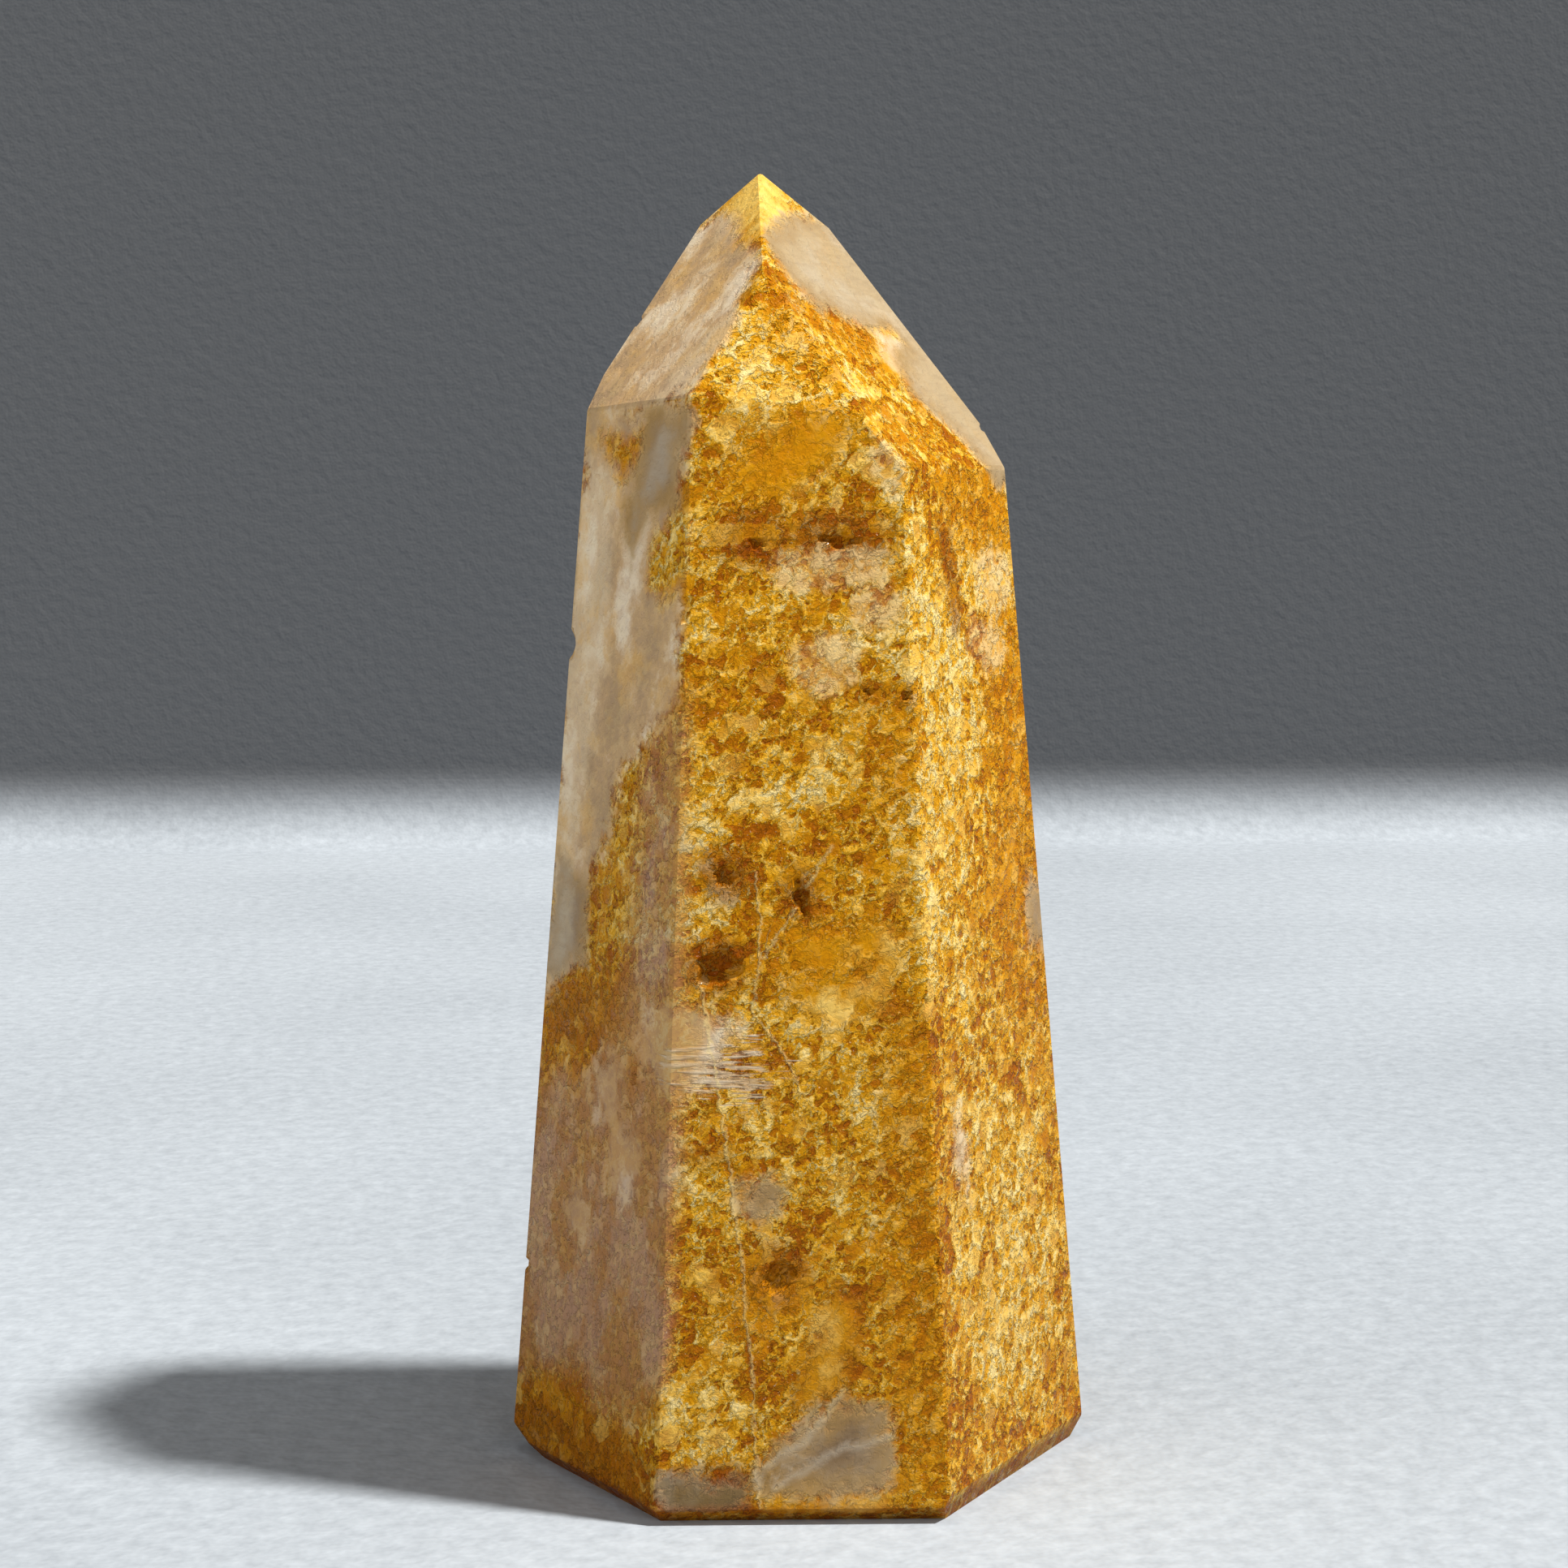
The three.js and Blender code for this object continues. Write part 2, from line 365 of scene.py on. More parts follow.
    # Milk above, a golden and brown band, a misty brown stretch partly of painted shade, and a golden
    # foot under a band of painted shade.
    front_left: tuple[Patch, ...] = (
        Pane(
            Look.CLEAR,
            (
                (1.4, 65.4), (7.7, 65.3), (5.4, 62.7), (5.5, 59.9),
                (2.1, 58.9), (0.3, 55.9), (-0.9, 58.8), (0.8, 62.7),
            ),
        ),
        Pane(Look.CLEAR, ((-6.4, 37.7), (-2.4, 36.4), (-3, 32.1), (-6.2, 30.4), (-7.6, 31))),
        Pane(
            Look.MILK,
            ((-5.9, 65.3), (5.8, 66.1), (6.4, 48.3), (1, 44), (-3.8, 32.4), (-7.2, 29.5), (-7.2, 50.7)),
        ),
        Blot(Look.MILK, 7.6, 28.2, 6, 4.2),
        Blot(Look.MILK, -2, 16.7, 3, 3),
        Blot(Look.MILK, 3.1, 20.7, 3, 4.3),
        Blot(Look.MILK, 0.4, 24.7, 4, 4.2),
        Pane(
            Look.VEIL,
            (
                (-8.9, 23.5), (0, 25.5), (2.5, 33), (3, 44), (7.5, 50),
                (9.6, 31), (9.6, 9.4), (4.9, 5.4), (-2.1, 6.6), (-9.6, 5),
            ),
        ),
        Pane(Look.GOLD, ((6.4, 60.8), (6.8, 55.6), (4, 54.2), (2, 55), (2.7, 57.9))),
        Pane(Look.GOLD, ((-3.7, 63.6), (0.9, 64), (0.3, 62.2), (-1.4, 61.2))),
        Pane(Look.AMBER, ((-4.7, 64.1), (1.5, 64.6), (0.8, 62.2), (-1.1, 60.7), (-3.5, 62.2))),
        Pane(Look.AMBER, ((-8.2, 29.9), (-2.8, 32.1), (3.9, 32.5), (5.1, 30.3), (0.7, 27.2), (-8.4, 24.8))),
        Pane(Look.AMBER, ((-9.6, 5), (-2.1, 6.6), (4.9, 5.4), (8.2, 0.4), (-9.6, 0))),
        Pane(Look.AMBER, ((-8.2, 26), (4, 30), (8, 24), (8.6, 6), (-9.6, 5))),
        Blot(Look.BROWN, 3.7, 25.9, 0.8, 2.4, -8),
        # A band of painted shade along the foot, where the bevel lies in shadow.
        Blot(Look.BROWN, -1, 1.2, 22, 6.5),
        Blot(Look.BROWN, -2.5, 28.5, 9, 3.4, 8),
        Pane(
            Look.PALE,
            ((-6.5, 62.6), (-2, 61.4), (-2, 50), (-4.5, 40), (-5.5, 31), (-8.8, 30), (-7.9, 50)),
        ),
    )
    # A bright sheet beside the ridge, fire at the far edge, honey below.
    front_right: tuple[Patch, ...] = (
        Pane(Look.CLEAR, ((6.6, 36.5), (8.7, 35.1), (8.9, 31.5), (6.4, 32.4))),
        Blot(Look.MILK, -5, 20.8, 1.7, 3.3),
        Pane(
            Look.AMBER,
            (
                (2.9, 52.8), (8.2, 53.5), (9.2, 30.1), (9.2, 27),
                (2.4, 28.9), (0.5, 36.2), (3.8, 43.3), (1.7, 48.4),
            ),
        ),
        Pane(Look.AMBER, ((-3, 62.7), (6.3, 61.2), (7.4, 56.6), (1.7, 56.3), (-1.9, 58.8))),
        Pane(Look.BROWN, ((-3.3, 58.9), (-1.6, 58.3), (-0.6, 52.9), (-1.6, 52.2), (-2.6, 56))),
        Pane(
            Look.PALE,
            (
                (-6.9, 60.8), (-3.4, 59.8), (-2.7, 53.1), (2.2, 47.9),
                (-0.5, 41.2), (-2.7, 29.2), (-9, 30.1), (-8.5, 49.1),
            ),
        ),
        Pane(Look.PALE, ((0.5, 56.3), (7.4, 56.6), (7.4, 52.1), (3.8, 51.2), (1.3, 53.8))),
        Blot(Look.PALE, 0, 14, 14, 22),
        Blot(Look.SNOW, 4.3, 54.7, 5, 4),
        Pane(Look.SNOW, ((0.7, 53.4), (3.9, 51.7), (5.5, 50.6), (2.4, 49.4), (-0.2, 51))),
    )
    # Milk with a golden tip.
    broad_left: tuple[Patch, ...] = (
        Pane(
            Look.MILK,
            ((-1.8, 78), (4.6, 73.7), (5.6, 70), (6.6, 65), (-6.5, 64.6), (-8, 67.3), (-8, 77)),
        ),
        Pane(Look.GOLD, ((-3, 80.5), (-5.5, 78.4), (0.7, 75.3), (3.4, 75.2), (2, 80.5))),
        Pane(Look.GLOW, ((-5, 81.5), (-7.5, 78), (0.7, 75.2), (5.4, 75.2), (4, 81.5))),
        Blot(Look.PALE, -1, 79, 9, 8),
        Pane(Look.PALE, ((6.1, 72.9), (6.8, 71.7), (6.8, 65.6), (1.7, 65.6), (3.7, 69.6))),
    )
    # Two clear strips down its edge, amber between them, and a golden tip.
    broad_right: tuple[Patch, ...] = (
        Pane(
            Look.CLEAR,
            ((-4.6, 75.9), (1.3, 77.4), (7, 77), (12, 70.1), (0.7, 70.5), (-4, 71.3), (-5.5, 73.7)),
        ),
        Pane(
            Look.CLEAR,
            (
                (6.8, 70.6), (9.5, 69.2), (8.5, 61), (5, 59.5), (4, 61),
                (3.7, 62.4), (2.6, 64.5), (0.5, 66.2), (2.1, 68.5),
            ),
        ),
        Pane(Look.MILK, ((1.5, 70), (5.4, 69.7), (3, 67.6), (1, 68))),
        Pane(Look.GLOW, ((-8.5, 81.5), (-8.5, 76.3), (-4.6, 75.4), (1.3, 77), (5, 81.5))),
        Pane(Look.GLOW, ((1, 70.4), (5.9, 69.9), (2.6, 67.1), (-0.8, 67.5))),
        Pane(
            Look.AMBER,
            (
                (-6, 73.5), (-4, 71.3), (0.7, 70.5), (5.9, 69.9),
                (2.6, 67.1), (-0.8, 67.5), (-6.2, 69.8), (-8.4, 72.2),
            ),
        ),
        Pane(
            Look.PALE,
            ((-6.6, 80.5), (-5.6, 73.7), (-4, 71.3), (2, 70), (1, 66), (5, 59), (14, 60), (12, 80)),
        ),
        Blot(Look.PALE, -3, 66, 6, 3, -40),
    )
    # Pale golden crumb, with amber down the right ridge.
    narrow_front: tuple[Patch, ...] = (
        Pane(Look.AMBER, ((-2.2, 72.9), (-1, 72.9), (2, 69.3), (2.8, 66.9), (0, 67.9), (-2.3, 69.8))),
        Pane(Look.PALE, ((-3.4, 71.7), (-6.1, 68.4), (-7.6, 65.6), (-2.9, 65.5), (-1.9, 68.8))),
        Blot(Look.PALE, 0.5, 68, 8, 6.5),
        Blot(Look.PALE, -0.2, 72.4, 3.4, 3),
        # This snow blot at the top paints a glint: a painted highlight of light off a fracture.
        Blot(Look.SNOW, -0.2, 72.2, 2.6, 2),
    )
    # The unseen faces carry on in the same way.
    broad_back: tuple[Patch, ...] = (
        Pane(Look.CLEAR, ((-7.5, 76), (-1, 78), (3, 72), (-2, 66), (-7.5, 66.5))),
    )
    back_right: tuple[Patch, ...] = (
        Pane(Look.CLEAR, ((-9, 36.5), (-6.5, 35), (-6.8, 31), (-9, 31.5))),
        Pane(Look.MILK, ((0, 62), (7, 62.5), (8, 50), (3, 46))),
        Pane(Look.AMBER, ((-9, 54), (-3, 52), (0, 40), (-4, 28), (-9.6, 27))),
        Blot(Look.BROWN, 2, 44, 3.2, 2.4, 25),
        Pane(Look.PALE, ((-2, 26), (9, 30), (9, 10), (0, 12))),
    )
    back: tuple[Patch, ...] = (
        Pane(Look.CLEAR, ((2, 24), (6.5, 22), (7.5, 12), (3.5, 10))),
        Pane(Look.MILK, ((-8, 65), (2, 65), (4, 52), (-3, 46), (-8, 52))),
        Pane(Look.VEIL, ((-9, 20), (0, 18), (2, 0), (-9.8, 0))),
        Pane(Look.AMBER, ((-9, 36), (-1, 38), (2, 28), (-4, 20), (-9.5, 24))),
        Blot(Look.BROWN, -3, 30, 2.8, 3.4, 15),
    )
    back_left: tuple[Patch, ...] = (
        Pane(Look.CLEAR, ((3, 61), (7, 60.5), (7.5, 50.5), (4, 52))),
        Pane(Look.CLEAR, ((4.5, 38), (8.5, 37.5), (8.8, 30.5), (6, 30))),
        Pane(Look.MILK, ((-6, 66), (7.5, 65.5), (8, 44), (1, 38), (-5, 46))),
        Pane(Look.VEIL, ((-2, 24), (9.6, 26), (9.8, 6), (0, 4))),
        Pane(Look.AMBER, ((2, 30.5), (9.4, 30), (9.6, 24.5), (0, 24))),
        Blot(Look.BROWN, 1.5, 18, 2.5, 2, -20),
    )
    narrow_left: tuple[Patch, ...] = (
        Pane(Look.MILK, ((-6, 74), (5, 76), (7, 65), (-6, 64))),
    )
    narrow_right: tuple[Patch, ...] = (
        Pane(Look.CLEAR, ((-6, 78), (4, 78), (6, 66), (-5.5, 62.5))),
    )

    def __iter__(self) -> Iterator[tuple[Face, Patch]]:
        """Gives every patch with the face that it lies under.

        Yields:
            The face and the patch.
        """
        for under in fields(self):
            for patch in getattr(self, under.name):
                yield Face[under.name.upper()], patch


@dataclass(frozen=True)
class Vein:
    """A healed crack that shows as a line on a face: its points (aside, height) in order."""

    face: Face
    points: tuple[tuple[float, float], ...]

    def places(self, cut: Cut, points: np.ndarray) -> tuple[np.ndarray, np.ndarray]:
        """Works out each point's place beside the nearest stretch of the line.

        Args:
            cut: The cut the line lies in.
            points: The points, one a row.

        Returns:
            The signed distance square to the line, and how far the point lies inside a band that
            reaches one millimetre round the line and a third of that below the face.
        """
        line = np.array([(aside, cut.along_slope(height)) for aside, height in self.points])
        flat = np.stack([points @ cut.across, points @ cut.upslope], axis=1)
        edge = np.diff(line, axis=0)[None]
        to_point = flat[:, None] - line[None, :-1]
        share = (to_point * edge).sum(2) / (edge * edge).sum(2)
        gap = np.linalg.norm(to_point - np.clip(share, 0, 1)[..., None] * edge, axis=2)
        nearest = gap.argmin(axis=1)
        row = np.arange(len(points))
        turned = edge[..., 0] * to_point[..., 1] - edge[..., 1] * to_point[..., 0]
        beside = (turned / np.linalg.norm(edge, axis=2))[row, nearest]
        depth = np.maximum(cut.reach - points @ cut.normal, 0)
        return beside, 1 - gap[row, nearest] - 3 * depth


@dataclass
class CutStone:
    """The space inside a list of cuts, with its corners."""

    cuts: Sequence[Cut]
    normals: np.ndarray = field(init=False)
    reaches: np.ndarray = field(init=False)
    corners: np.ndarray = field(init=False)
    touching: np.ndarray = field(init=False)

    def __post_init__(self) -> None:
        """Finds the corners.

        Three cuts a, b and c share the point (a b x c + b c x a + c a x b) / (a . b x c), each
        reach times the cross product of the other two normals. All threes are worked out at once,
        and the points that no cut leaves outside are the corners.
        """
        self.normals = np.array([cut.normal for cut in self.cuts])
        self.reaches = np.array([cut.reach for cut in self.cuts])
        threes = np.array(list(itertools.combinations(range(len(self.cuts)), 3)))
        a, b, c = (self.normals[threes[:, k]] for k in range(3))
        bc, ca, ab = np.cross(b, c), np.cross(c, a), np.cross(a, b)
        share = (a * bc).sum(1)
        apart = np.abs(share) > INSIDE
        reach = self.reaches[threes]
        total = reach[:, 0:1] * bc + reach[:, 1:2] * ca + reach[:, 2:3] * ab
        points = total[apart] / share[apart, None]
        kept = points[(points @ self.normals.T <= self.reaches + INSIDE).all(axis=1)]
        _, first = np.unique(np.round(kept / TOUCH), axis=0, return_index=True)
        self.corners = kept[np.sort(first)]
        self.touching = np.abs(self.corners @ self.normals.T - self.reaches) < TOUCH

    def ridges(self, count: int) -> list[tuple[Cut, Cut, np.ndarray]]:
        """Lists the ridges between the first cuts: each pair of cuts that shares two corners.

        Args:
            count: How many cuts are looked at.

        Returns:
            The two cuts and a corner of each ridge.
        """
        found = []
        for a, b in itertools.combinations(range(count), 2):
            shared = np.flatnonzero(self.touching[:, a] & self.touching[:, b])
            if len(shared) > 1:
                found.append((self.cuts[a], self.cuts[b], self.corners[shared[0]]))
        return found

    def facet_grid(self, number: int, levels: np.ndarray) -> np.ndarray:
        """Lays a grid on one cut, level by level from ridge to ridge.

        At a height the cut is a level line, and each other cut bounds it at the distance aside
        where their planes cross. The row runs evenly from the highest lower bound to the lowest
        upper bound, so neighbours share their ridge points.

        Args:
            number: The cut's place in the list.
            levels: All the heights, rising.

        Returns:
            The grid's points, rows by columns by 3.
        """
        cut = self.cuts[number]
        heights = self.corners[self.touching[:, number], 2]
        rows = levels[(levels >= heights.min() - INSIDE) & (levels <= heights.max() + INSIDE)]
        along = (rows - cut.reach * cut.normal[2]) / cut.upslope[2]
        start = cut.reach * cut.normal + along[:, None] * cut.upslope
        others = np.arange(len(self.cuts)) != number
        tilt = self.normals[others] @ cut.across
        room = self.reaches[others] - start @ self.normals[others].T
        level_cuts = np.abs(tilt) < NOTHING
        bound = room / np.where(level_cuts, 1, tilt)
        low = np.where(level_cuts | (tilt > 0), -np.inf, bound).max(axis=1)
        high = np.where(level_cuts | (tilt < 0), np.inf, bound).min(axis=1)
        share = np.linspace(0, 1, cut.columns + 1)
        aside = low[:, None] + share * np.maximum(high - low, 0)[:, None]
        return start[:, None] + aside[..., None] * cut.across


@dataclass
class Skin:
    """Points and faces gathered from grids, before they are welded into one mesh."""

    points: list[np.ndarray] = field(default_factory=list)
    faces: list[np.ndarray] = field(default_factory=list)
    count: int = 0

    def add_grid(self, grid: np.ndarray) -> None:
        """Adds a grid's points, and a four-sided face in each of its squares.

        Args:
            grid: The points, rows by columns by 3, with columns rightwards seen from outside.
        """
        rows, columns = grid.shape[:2]
        number = self.count + np.arange(rows * columns).reshape(rows, columns)
        corners = [number[:-1, :-1], number[:-1, 1:], number[1:, 1:], number[1:, :-1]]
        self.points.append(grid.reshape(-1, 3))
        self.faces.append(np.stack(corners, axis=-1).reshape(-1, 4))
        self.count += rows * columns

    def weld(self, name: str, shift: np.ndarray) -> bpy.types.Object:
        """Makes one mesh of the grids, in metres, with its seams and poles closed.

        Args:
            name: The object's name.
            shift: What is added to every point, in millimetres.

        Returns:
            The object, linked to the scene.
        """
        mesh = bpy.data.meshes.new(name)
        points = (np.concatenate(self.points) + shift) * MM
        mesh.from_pydata(points.tolist(), [], np.concatenate(self.faces).tolist())
        shell = bmesh.new()
        shell.from_mesh(mesh)
        bmesh.ops.remove_doubles(shell, verts=shell.verts, dist=WELD)
        bmesh.ops.dissolve_degenerate(shell, edges=shell.edges, dist=WELD)
        bmesh.ops.recalc_face_normals(shell, faces=shell.faces)
        shell.to_mesh(mesh)
        shell.free()
        piece = bpy.data.objects.new(name, mesh)
        bpy.context.scene.collection.objects.link(piece)
        return piece


@dataclass(frozen=True)
class Bite:
    """An uneven pebble's hollow: its centre, its axes as rows, its half sizes and its number."""

    centre: np.ndarray
    axes: np.ndarray
    half: np.ndarray
    number: int
    bulge: float = 0.5
    bulge_rate: float = 3.6

    def press(self, points: np.ndarray) -> np.ndarray:
        """Presses the points that lie inside the pebble down onto its far side.

        In the pebble's half sizes a point is (x, y, z). Where x2 + y2 + z2 is under the square of
        the pebble's swell, z becomes minus the root of what x2 + y2 leave of that square.

        Args:
            points: The points, one a row.

        Returns:
            The moved points.
        """
        local = (points - self.centre) @ self.axes.T / self.half
        length = np.linalg.norm(local, axis=1)
        x, y, z = (local / np.maximum(length, NOTHING)[:, None]).T * self.bulge_rate
        roll = np.sin(x + self.number) * np.sin(y + 2 * self.number)
        swell = 1 + self.bulge * (roll + np.sin(z - self.number)) / 2
        sunk = -np.sqrt(np.maximum(swell**2 - local[:, 0] ** 2 - local[:, 1] ** 2, 0))
        inside = length < swell
        local[inside, 2] = np.minimum(local[inside, 2], sunk[inside])
        return np.where(inside[:, None], self.centre + (local * self.half) @ self.axes, points)


class Shade:
    """A node socket that takes part in sums: each operator adds the node that works it out."""

    def __init__(self, tree: "Shop", socket: bpy.types.NodeSocket) -> None:
        """Keeps the socket with the tree it belongs to."""
        self.tree = tree
        self.socket = socket

    def _math(self, operation: str, *values: "Amount", clamp: bool = False) -> "Shade":
        """Adds a Math node for an operation on one, two or three values."""
        settings = {"operation": operation, "use_clamp": clamp}
        return self.tree.node("ShaderNodeMath", settings, dict(enumerate(values)))

    def __add__(self, other: "Amount") -> "Shade":
        """Adds a value."""
        return self._math("ADD", self, other)

    __radd__ = __add__

    def __sub__(self, other: "Amount") -> "Shade":
        """Takes a value away."""
        return self._math("SUBTRACT", self, other)

    def __rsub__(self, other: "Amount") -> "Shade":
        """Takes this from a value."""
        return self._math("SUBTRACT", other, self)

    def __mul__(self, other: "Amount") -> "Shade":
        """Multiplies by a value."""
        return self._math("MULTIPLY", self, other)

    __rmul__ = __mul__

    def __truediv__(self, other: "Amount") -> "Shade":
        """Divides by a value."""
        return self._math("DIVIDE", self, other)

    def __rtruediv__(self, other: "Amount") -> "Shade":
        """Divides a value by this."""
        return self._math("DIVIDE", other, self)

    def __abs__(self) -> "Shade":
        """Drops the sign."""
        return self._math("ABSOLUTE", self)

    def highest(self, other: "Amount") -> "Shade":
        """Gives the higher of two values."""
        return self._math("MAXIMUM", self, other)

    def clamped(self) -> "Shade":
        """Keeps the value between 0 and 1."""
        return self._math("ADD", self, 0.0, clamp=True)

    def step(self, low: float, high: float) -> "Shade":
        """Rises smoothly from 0 at low to 1 at high, or falls where low is above high.

        Args:
            low: Where the rise starts.
            high: Where it ends.

        Returns:
            The share from 0 to 1.
        """
        settings = {"interpolation_type": "SMOOTHSTEP"}
        if low <= high:
            return self.tree.node("ShaderNodeMapRange", settings, {"Value": self, 1: low, 2: high})
        return 1 - self.tree.node("ShaderNodeMapRange", settings, {"Value": self, 1: high, 2: low})


Amount = Union[Shade, float]
Colour = tuple[float, float, float, float]


def tint(red: float, green: float, blue: float) -> Colour:
    """Gives a solid colour in linear light."""
    return (red, green, blue, 1.0)


class Shop:
    """The node tree of one material, with one method that places any node."""

    def __init__(self, name: str) -> None:
        """Starts a material with an empty tree.

        Args:
            name: The material's name.
        """
        self.material = bpy.data.materials.new(name)
        self.material.use_nodes = True
        self.nodes = self.material.node_tree.nodes
        self.links = self.material.node_tree.links
        self.nodes.clear()

    def node(
        self,
        kind: str,
        settings: Mapping[str, Any] | None = None,
        sockets: Mapping[str | int, Any] | None = None,
        output: str | int = 0,
    ) -> Shade:
        """Places a node, sets it up and then feeds its sockets.

        Args:
            kind: The node's type.
            settings: Its settings by name; stops is a list of (place, colour) for a ramp.
            sockets: A value or a Shade for each socket, by name or number.
            output: The output that is wanted.

        Returns:
            The wanted output.
        """
        made = self.nodes.new(kind)
        for key, value in (settings or {}).items():
            if key == "stops":
                self._set_stops(made.color_ramp, value)
            else:
                setattr(made, key, value)
        for key, value in (sockets or {}).items():
            if isinstance(value, Shade):
                self.links.new(value.socket, made.inputs[key])
            else:
                made.inputs[key].default_value = value
        return Shade(self, made.outputs[output])

    @staticmethod
    def _set_stops(ramp: bpy.types.ColorRamp, stops: Sequence[tuple[float, Colour]]) -> None:
        """Gives a ramp its stops."""
        for place, _ in stops[2:]:
            ramp.elements.new(place)
        for element, (place, colour) in zip(ramp.elements, stops):
            element.position = place
            element.color = colour

    def ramp(self, value: Shade, stops: Sequence[tuple[float, Colour]]) -> Shade:
        """Turns a value into a colour along a row of stops."""
        return self.node("ShaderNodeValToRGB", {"stops": stops}, {0: value})

    def blend(self, share: Amount, under: Shade | Colour, over: Shade | Colour) -> Shade:
        """Lays one colour over another by a share."""
        settings = {"data_type": "RGBA", "clamp_factor": True}
        return self.node("ShaderNodeMix", settings, {0: share, 6: under, 7: over}, 2)

    def vector(self, operation: str, *values: Any) -> Shade:
        """Works on vectors with a Vector Math node."""
        return self.node("ShaderNodeVectorMath", {"operation": operation}, dict(enumerate(values)))

    def scaled(self, value: Shade, amount: Amount) -> Shade:
        """Multiplies a vector or a colour by a number."""
        return self.node("ShaderNodeVectorMath", {"operation": "SCALE"}, {0: value, "Scale": amount})

    def slanted(self, place: Shade, tilt: float, drawn: tuple[float, float, float]) -> Shade:
        """Tips a pattern by tilt radians about the Y axis, and draws it out along its own axes."""
        sockets = {"Vector": place, "Rotation": (0.0, tilt, 0.0), "Scale": drawn}
        return self.node("ShaderNodeMapping", {"vector_type": "TEXTURE"}, sockets)

    def part(self, value: Shade, number: int, kind: str = "Color") -> Shade:
        """Gives one part of a colour, or of a place where kind is XYZ, as a number."""
        return self.node("ShaderNodeSeparate" + kind, sockets={0: value}, output=number)

    def attribute(self, name: str) -> Shade:
        """Reads a field of the mesh."""
        settings = {"attribute_type": "GEOMETRY", "attribute_name": name}
        return self.node("ShaderNodeAttribute", settings, output="Fac")

    def noise(self, place: Shade, rate: float, detail: float, rough: float) -> Shade:
        """Gives a noise from 0 to 1 about a middle of one half."""
        sockets = {"Vector": place, "Scale": rate, "Detail": detail, "Roughness": rough}
        return self.node("ShaderNodeTexNoise", sockets=sockets)

    def drift(self, place: Shade, rate: float, amount: float) -> Shade:
        """Moves a place about by a noise, by up to about half the amount each way.

        Args:
            place: The place in millimetres.
            rate: How fine the noise is.
            amount: The spread of the movement in millimetres.

        Returns:
            The moved place.
        """
        sockets = {"Vector": place, "Scale": rate, "Detail": 2.0}
        cloud = self.node("ShaderNodeTexNoise", sockets=sockets, output="Color")
        centred = self.vector("SUBTRACT", cloud, (0.5, 0.5, 0.5))
        return self.vector("ADD", place, self.scaled(centred, amount))

    def cells(self, place: Shade, rate: float, feature: str) -> tuple[Shade, Shade]:
        """Measures a pattern of cells.

        Args:
            place: The place in millimetres.
            rate: The cells to the millimetre.
            feature: F1 for the nearest cell, F2 for the next one.

        Returns:
            The distance to the cell's middle, and its random colour.
        """
        sockets = {"Vector": place, "Scale": rate}
        distance = self.node("ShaderNodeTexVoronoi", {"feature": feature}, sockets, "Distance")
        return distance, Shade(self, distance.socket.node.outputs["Color"])

    def finish(self, surface: Shade, volume: Shade | None = None) -> bpy.types.Material:
        """Ends the tree with what the material shows.

        Args:
            surface: The shader of the skin.
            volume: The shader of the inside, if it has one.

        Returns:
            The finished material.
        """
        sockets = {"Surface": surface}
        if volume is not None:
            sockets["Volume"] = volume
        output = self.nodes.new("ShaderNodeOutputMaterial")
        for key, value in sockets.items():
            self.links.new(value.socket, output.inputs[key])
        return self.material


@dataclass(frozen=True)
class Grains:
    """The patterns of the healed grains, ready to be coloured and raised.

    Tone and film are numbers of each cell and chip_tone of each chip, rim, pit and lip are shares,
    flakes and dust are noises, and rise is the height of them all together.
    """

    tone: Shade
    film: Shade
    chip_tone: Shade
    rim: Shade
    pit: Shade
    lip: Shade
    flakes: Shade
    dust: Shade
    rise: Shade


@dataclass(frozen=True)
class Crumb:
    """How the healed grains lie.

    Cells, chips, flakes and dust are counted to the millimetre. The pattern is tipped by tilt
    radians and drawn out, and a noise of drift_rate to the millimetre bends it by up to about half
    the drift.
    """

    cells: float = 0.85
    chips: float = 1.9
    flakes: float = 1.05
    dust: float = 6.0
    tilt: float = -0.8
    drawn: tuple[float, float, float] = (1.15, 1.0, 0.92)
    drift_rate: float = 1.5
    drift: float = 0.8

    def grown(self, shop: Shop, place: Shade) -> Grains:
        """Grows the grains: cells with rims, pitted chips, ragged flakes with lips, and dust.

        A rim is where the nearest and the next cell are about equally far, a pit is the ground near
        a chip's middle, and a lip runs where the flakes are at one level.

        Args:
            shop: The tree.
            place: The place in millimetres.

        Returns:
            The patterns.
        """
        bent = shop.drift(shop.slanted(place, self.tilt, self.drawn), self.drift_rate, self.drift)
        flakes = shop.noise(bent, self.flakes, 4.0, 0.68)
        dust = shop.noise(place, self.dust, 1.0, 0.7)
        ragged = (flakes - 0.5) * 1.5
        gritty = dust - 0.5
        near, cell = shop.cells(bent, self.cells, "F1")
        next_near, _ = shop.cells(bent, self.cells, "F2")
        chip_near, chip = shop.cells(bent, self.chips, "F1")
        chip_tone = shop.part(chip, 0)
        pit = (chip_near - chip_tone * 0.55 + ragged * 0.75 + gritty * 0.3).step(0.02, -0.10)
        return Grains(
            tone=shop.part(cell, 0),
            film=shop.part(cell, 1),
            chip_tone=chip_tone,
            rim=(next_near - near - ragged + gritty * 0.16).step(0.15, 0.07),
            pit=pit,
            lip=(1 - abs(flakes - 0.515) / 0.028).clamped() * dust.step(0.40, 0.58),
            flakes=flakes,
            dust=dust,
            rise=flakes + flakes.step(0.49, 0.55) * 0.18 - pit * 0.22 + chip_near * 0.12,
        )


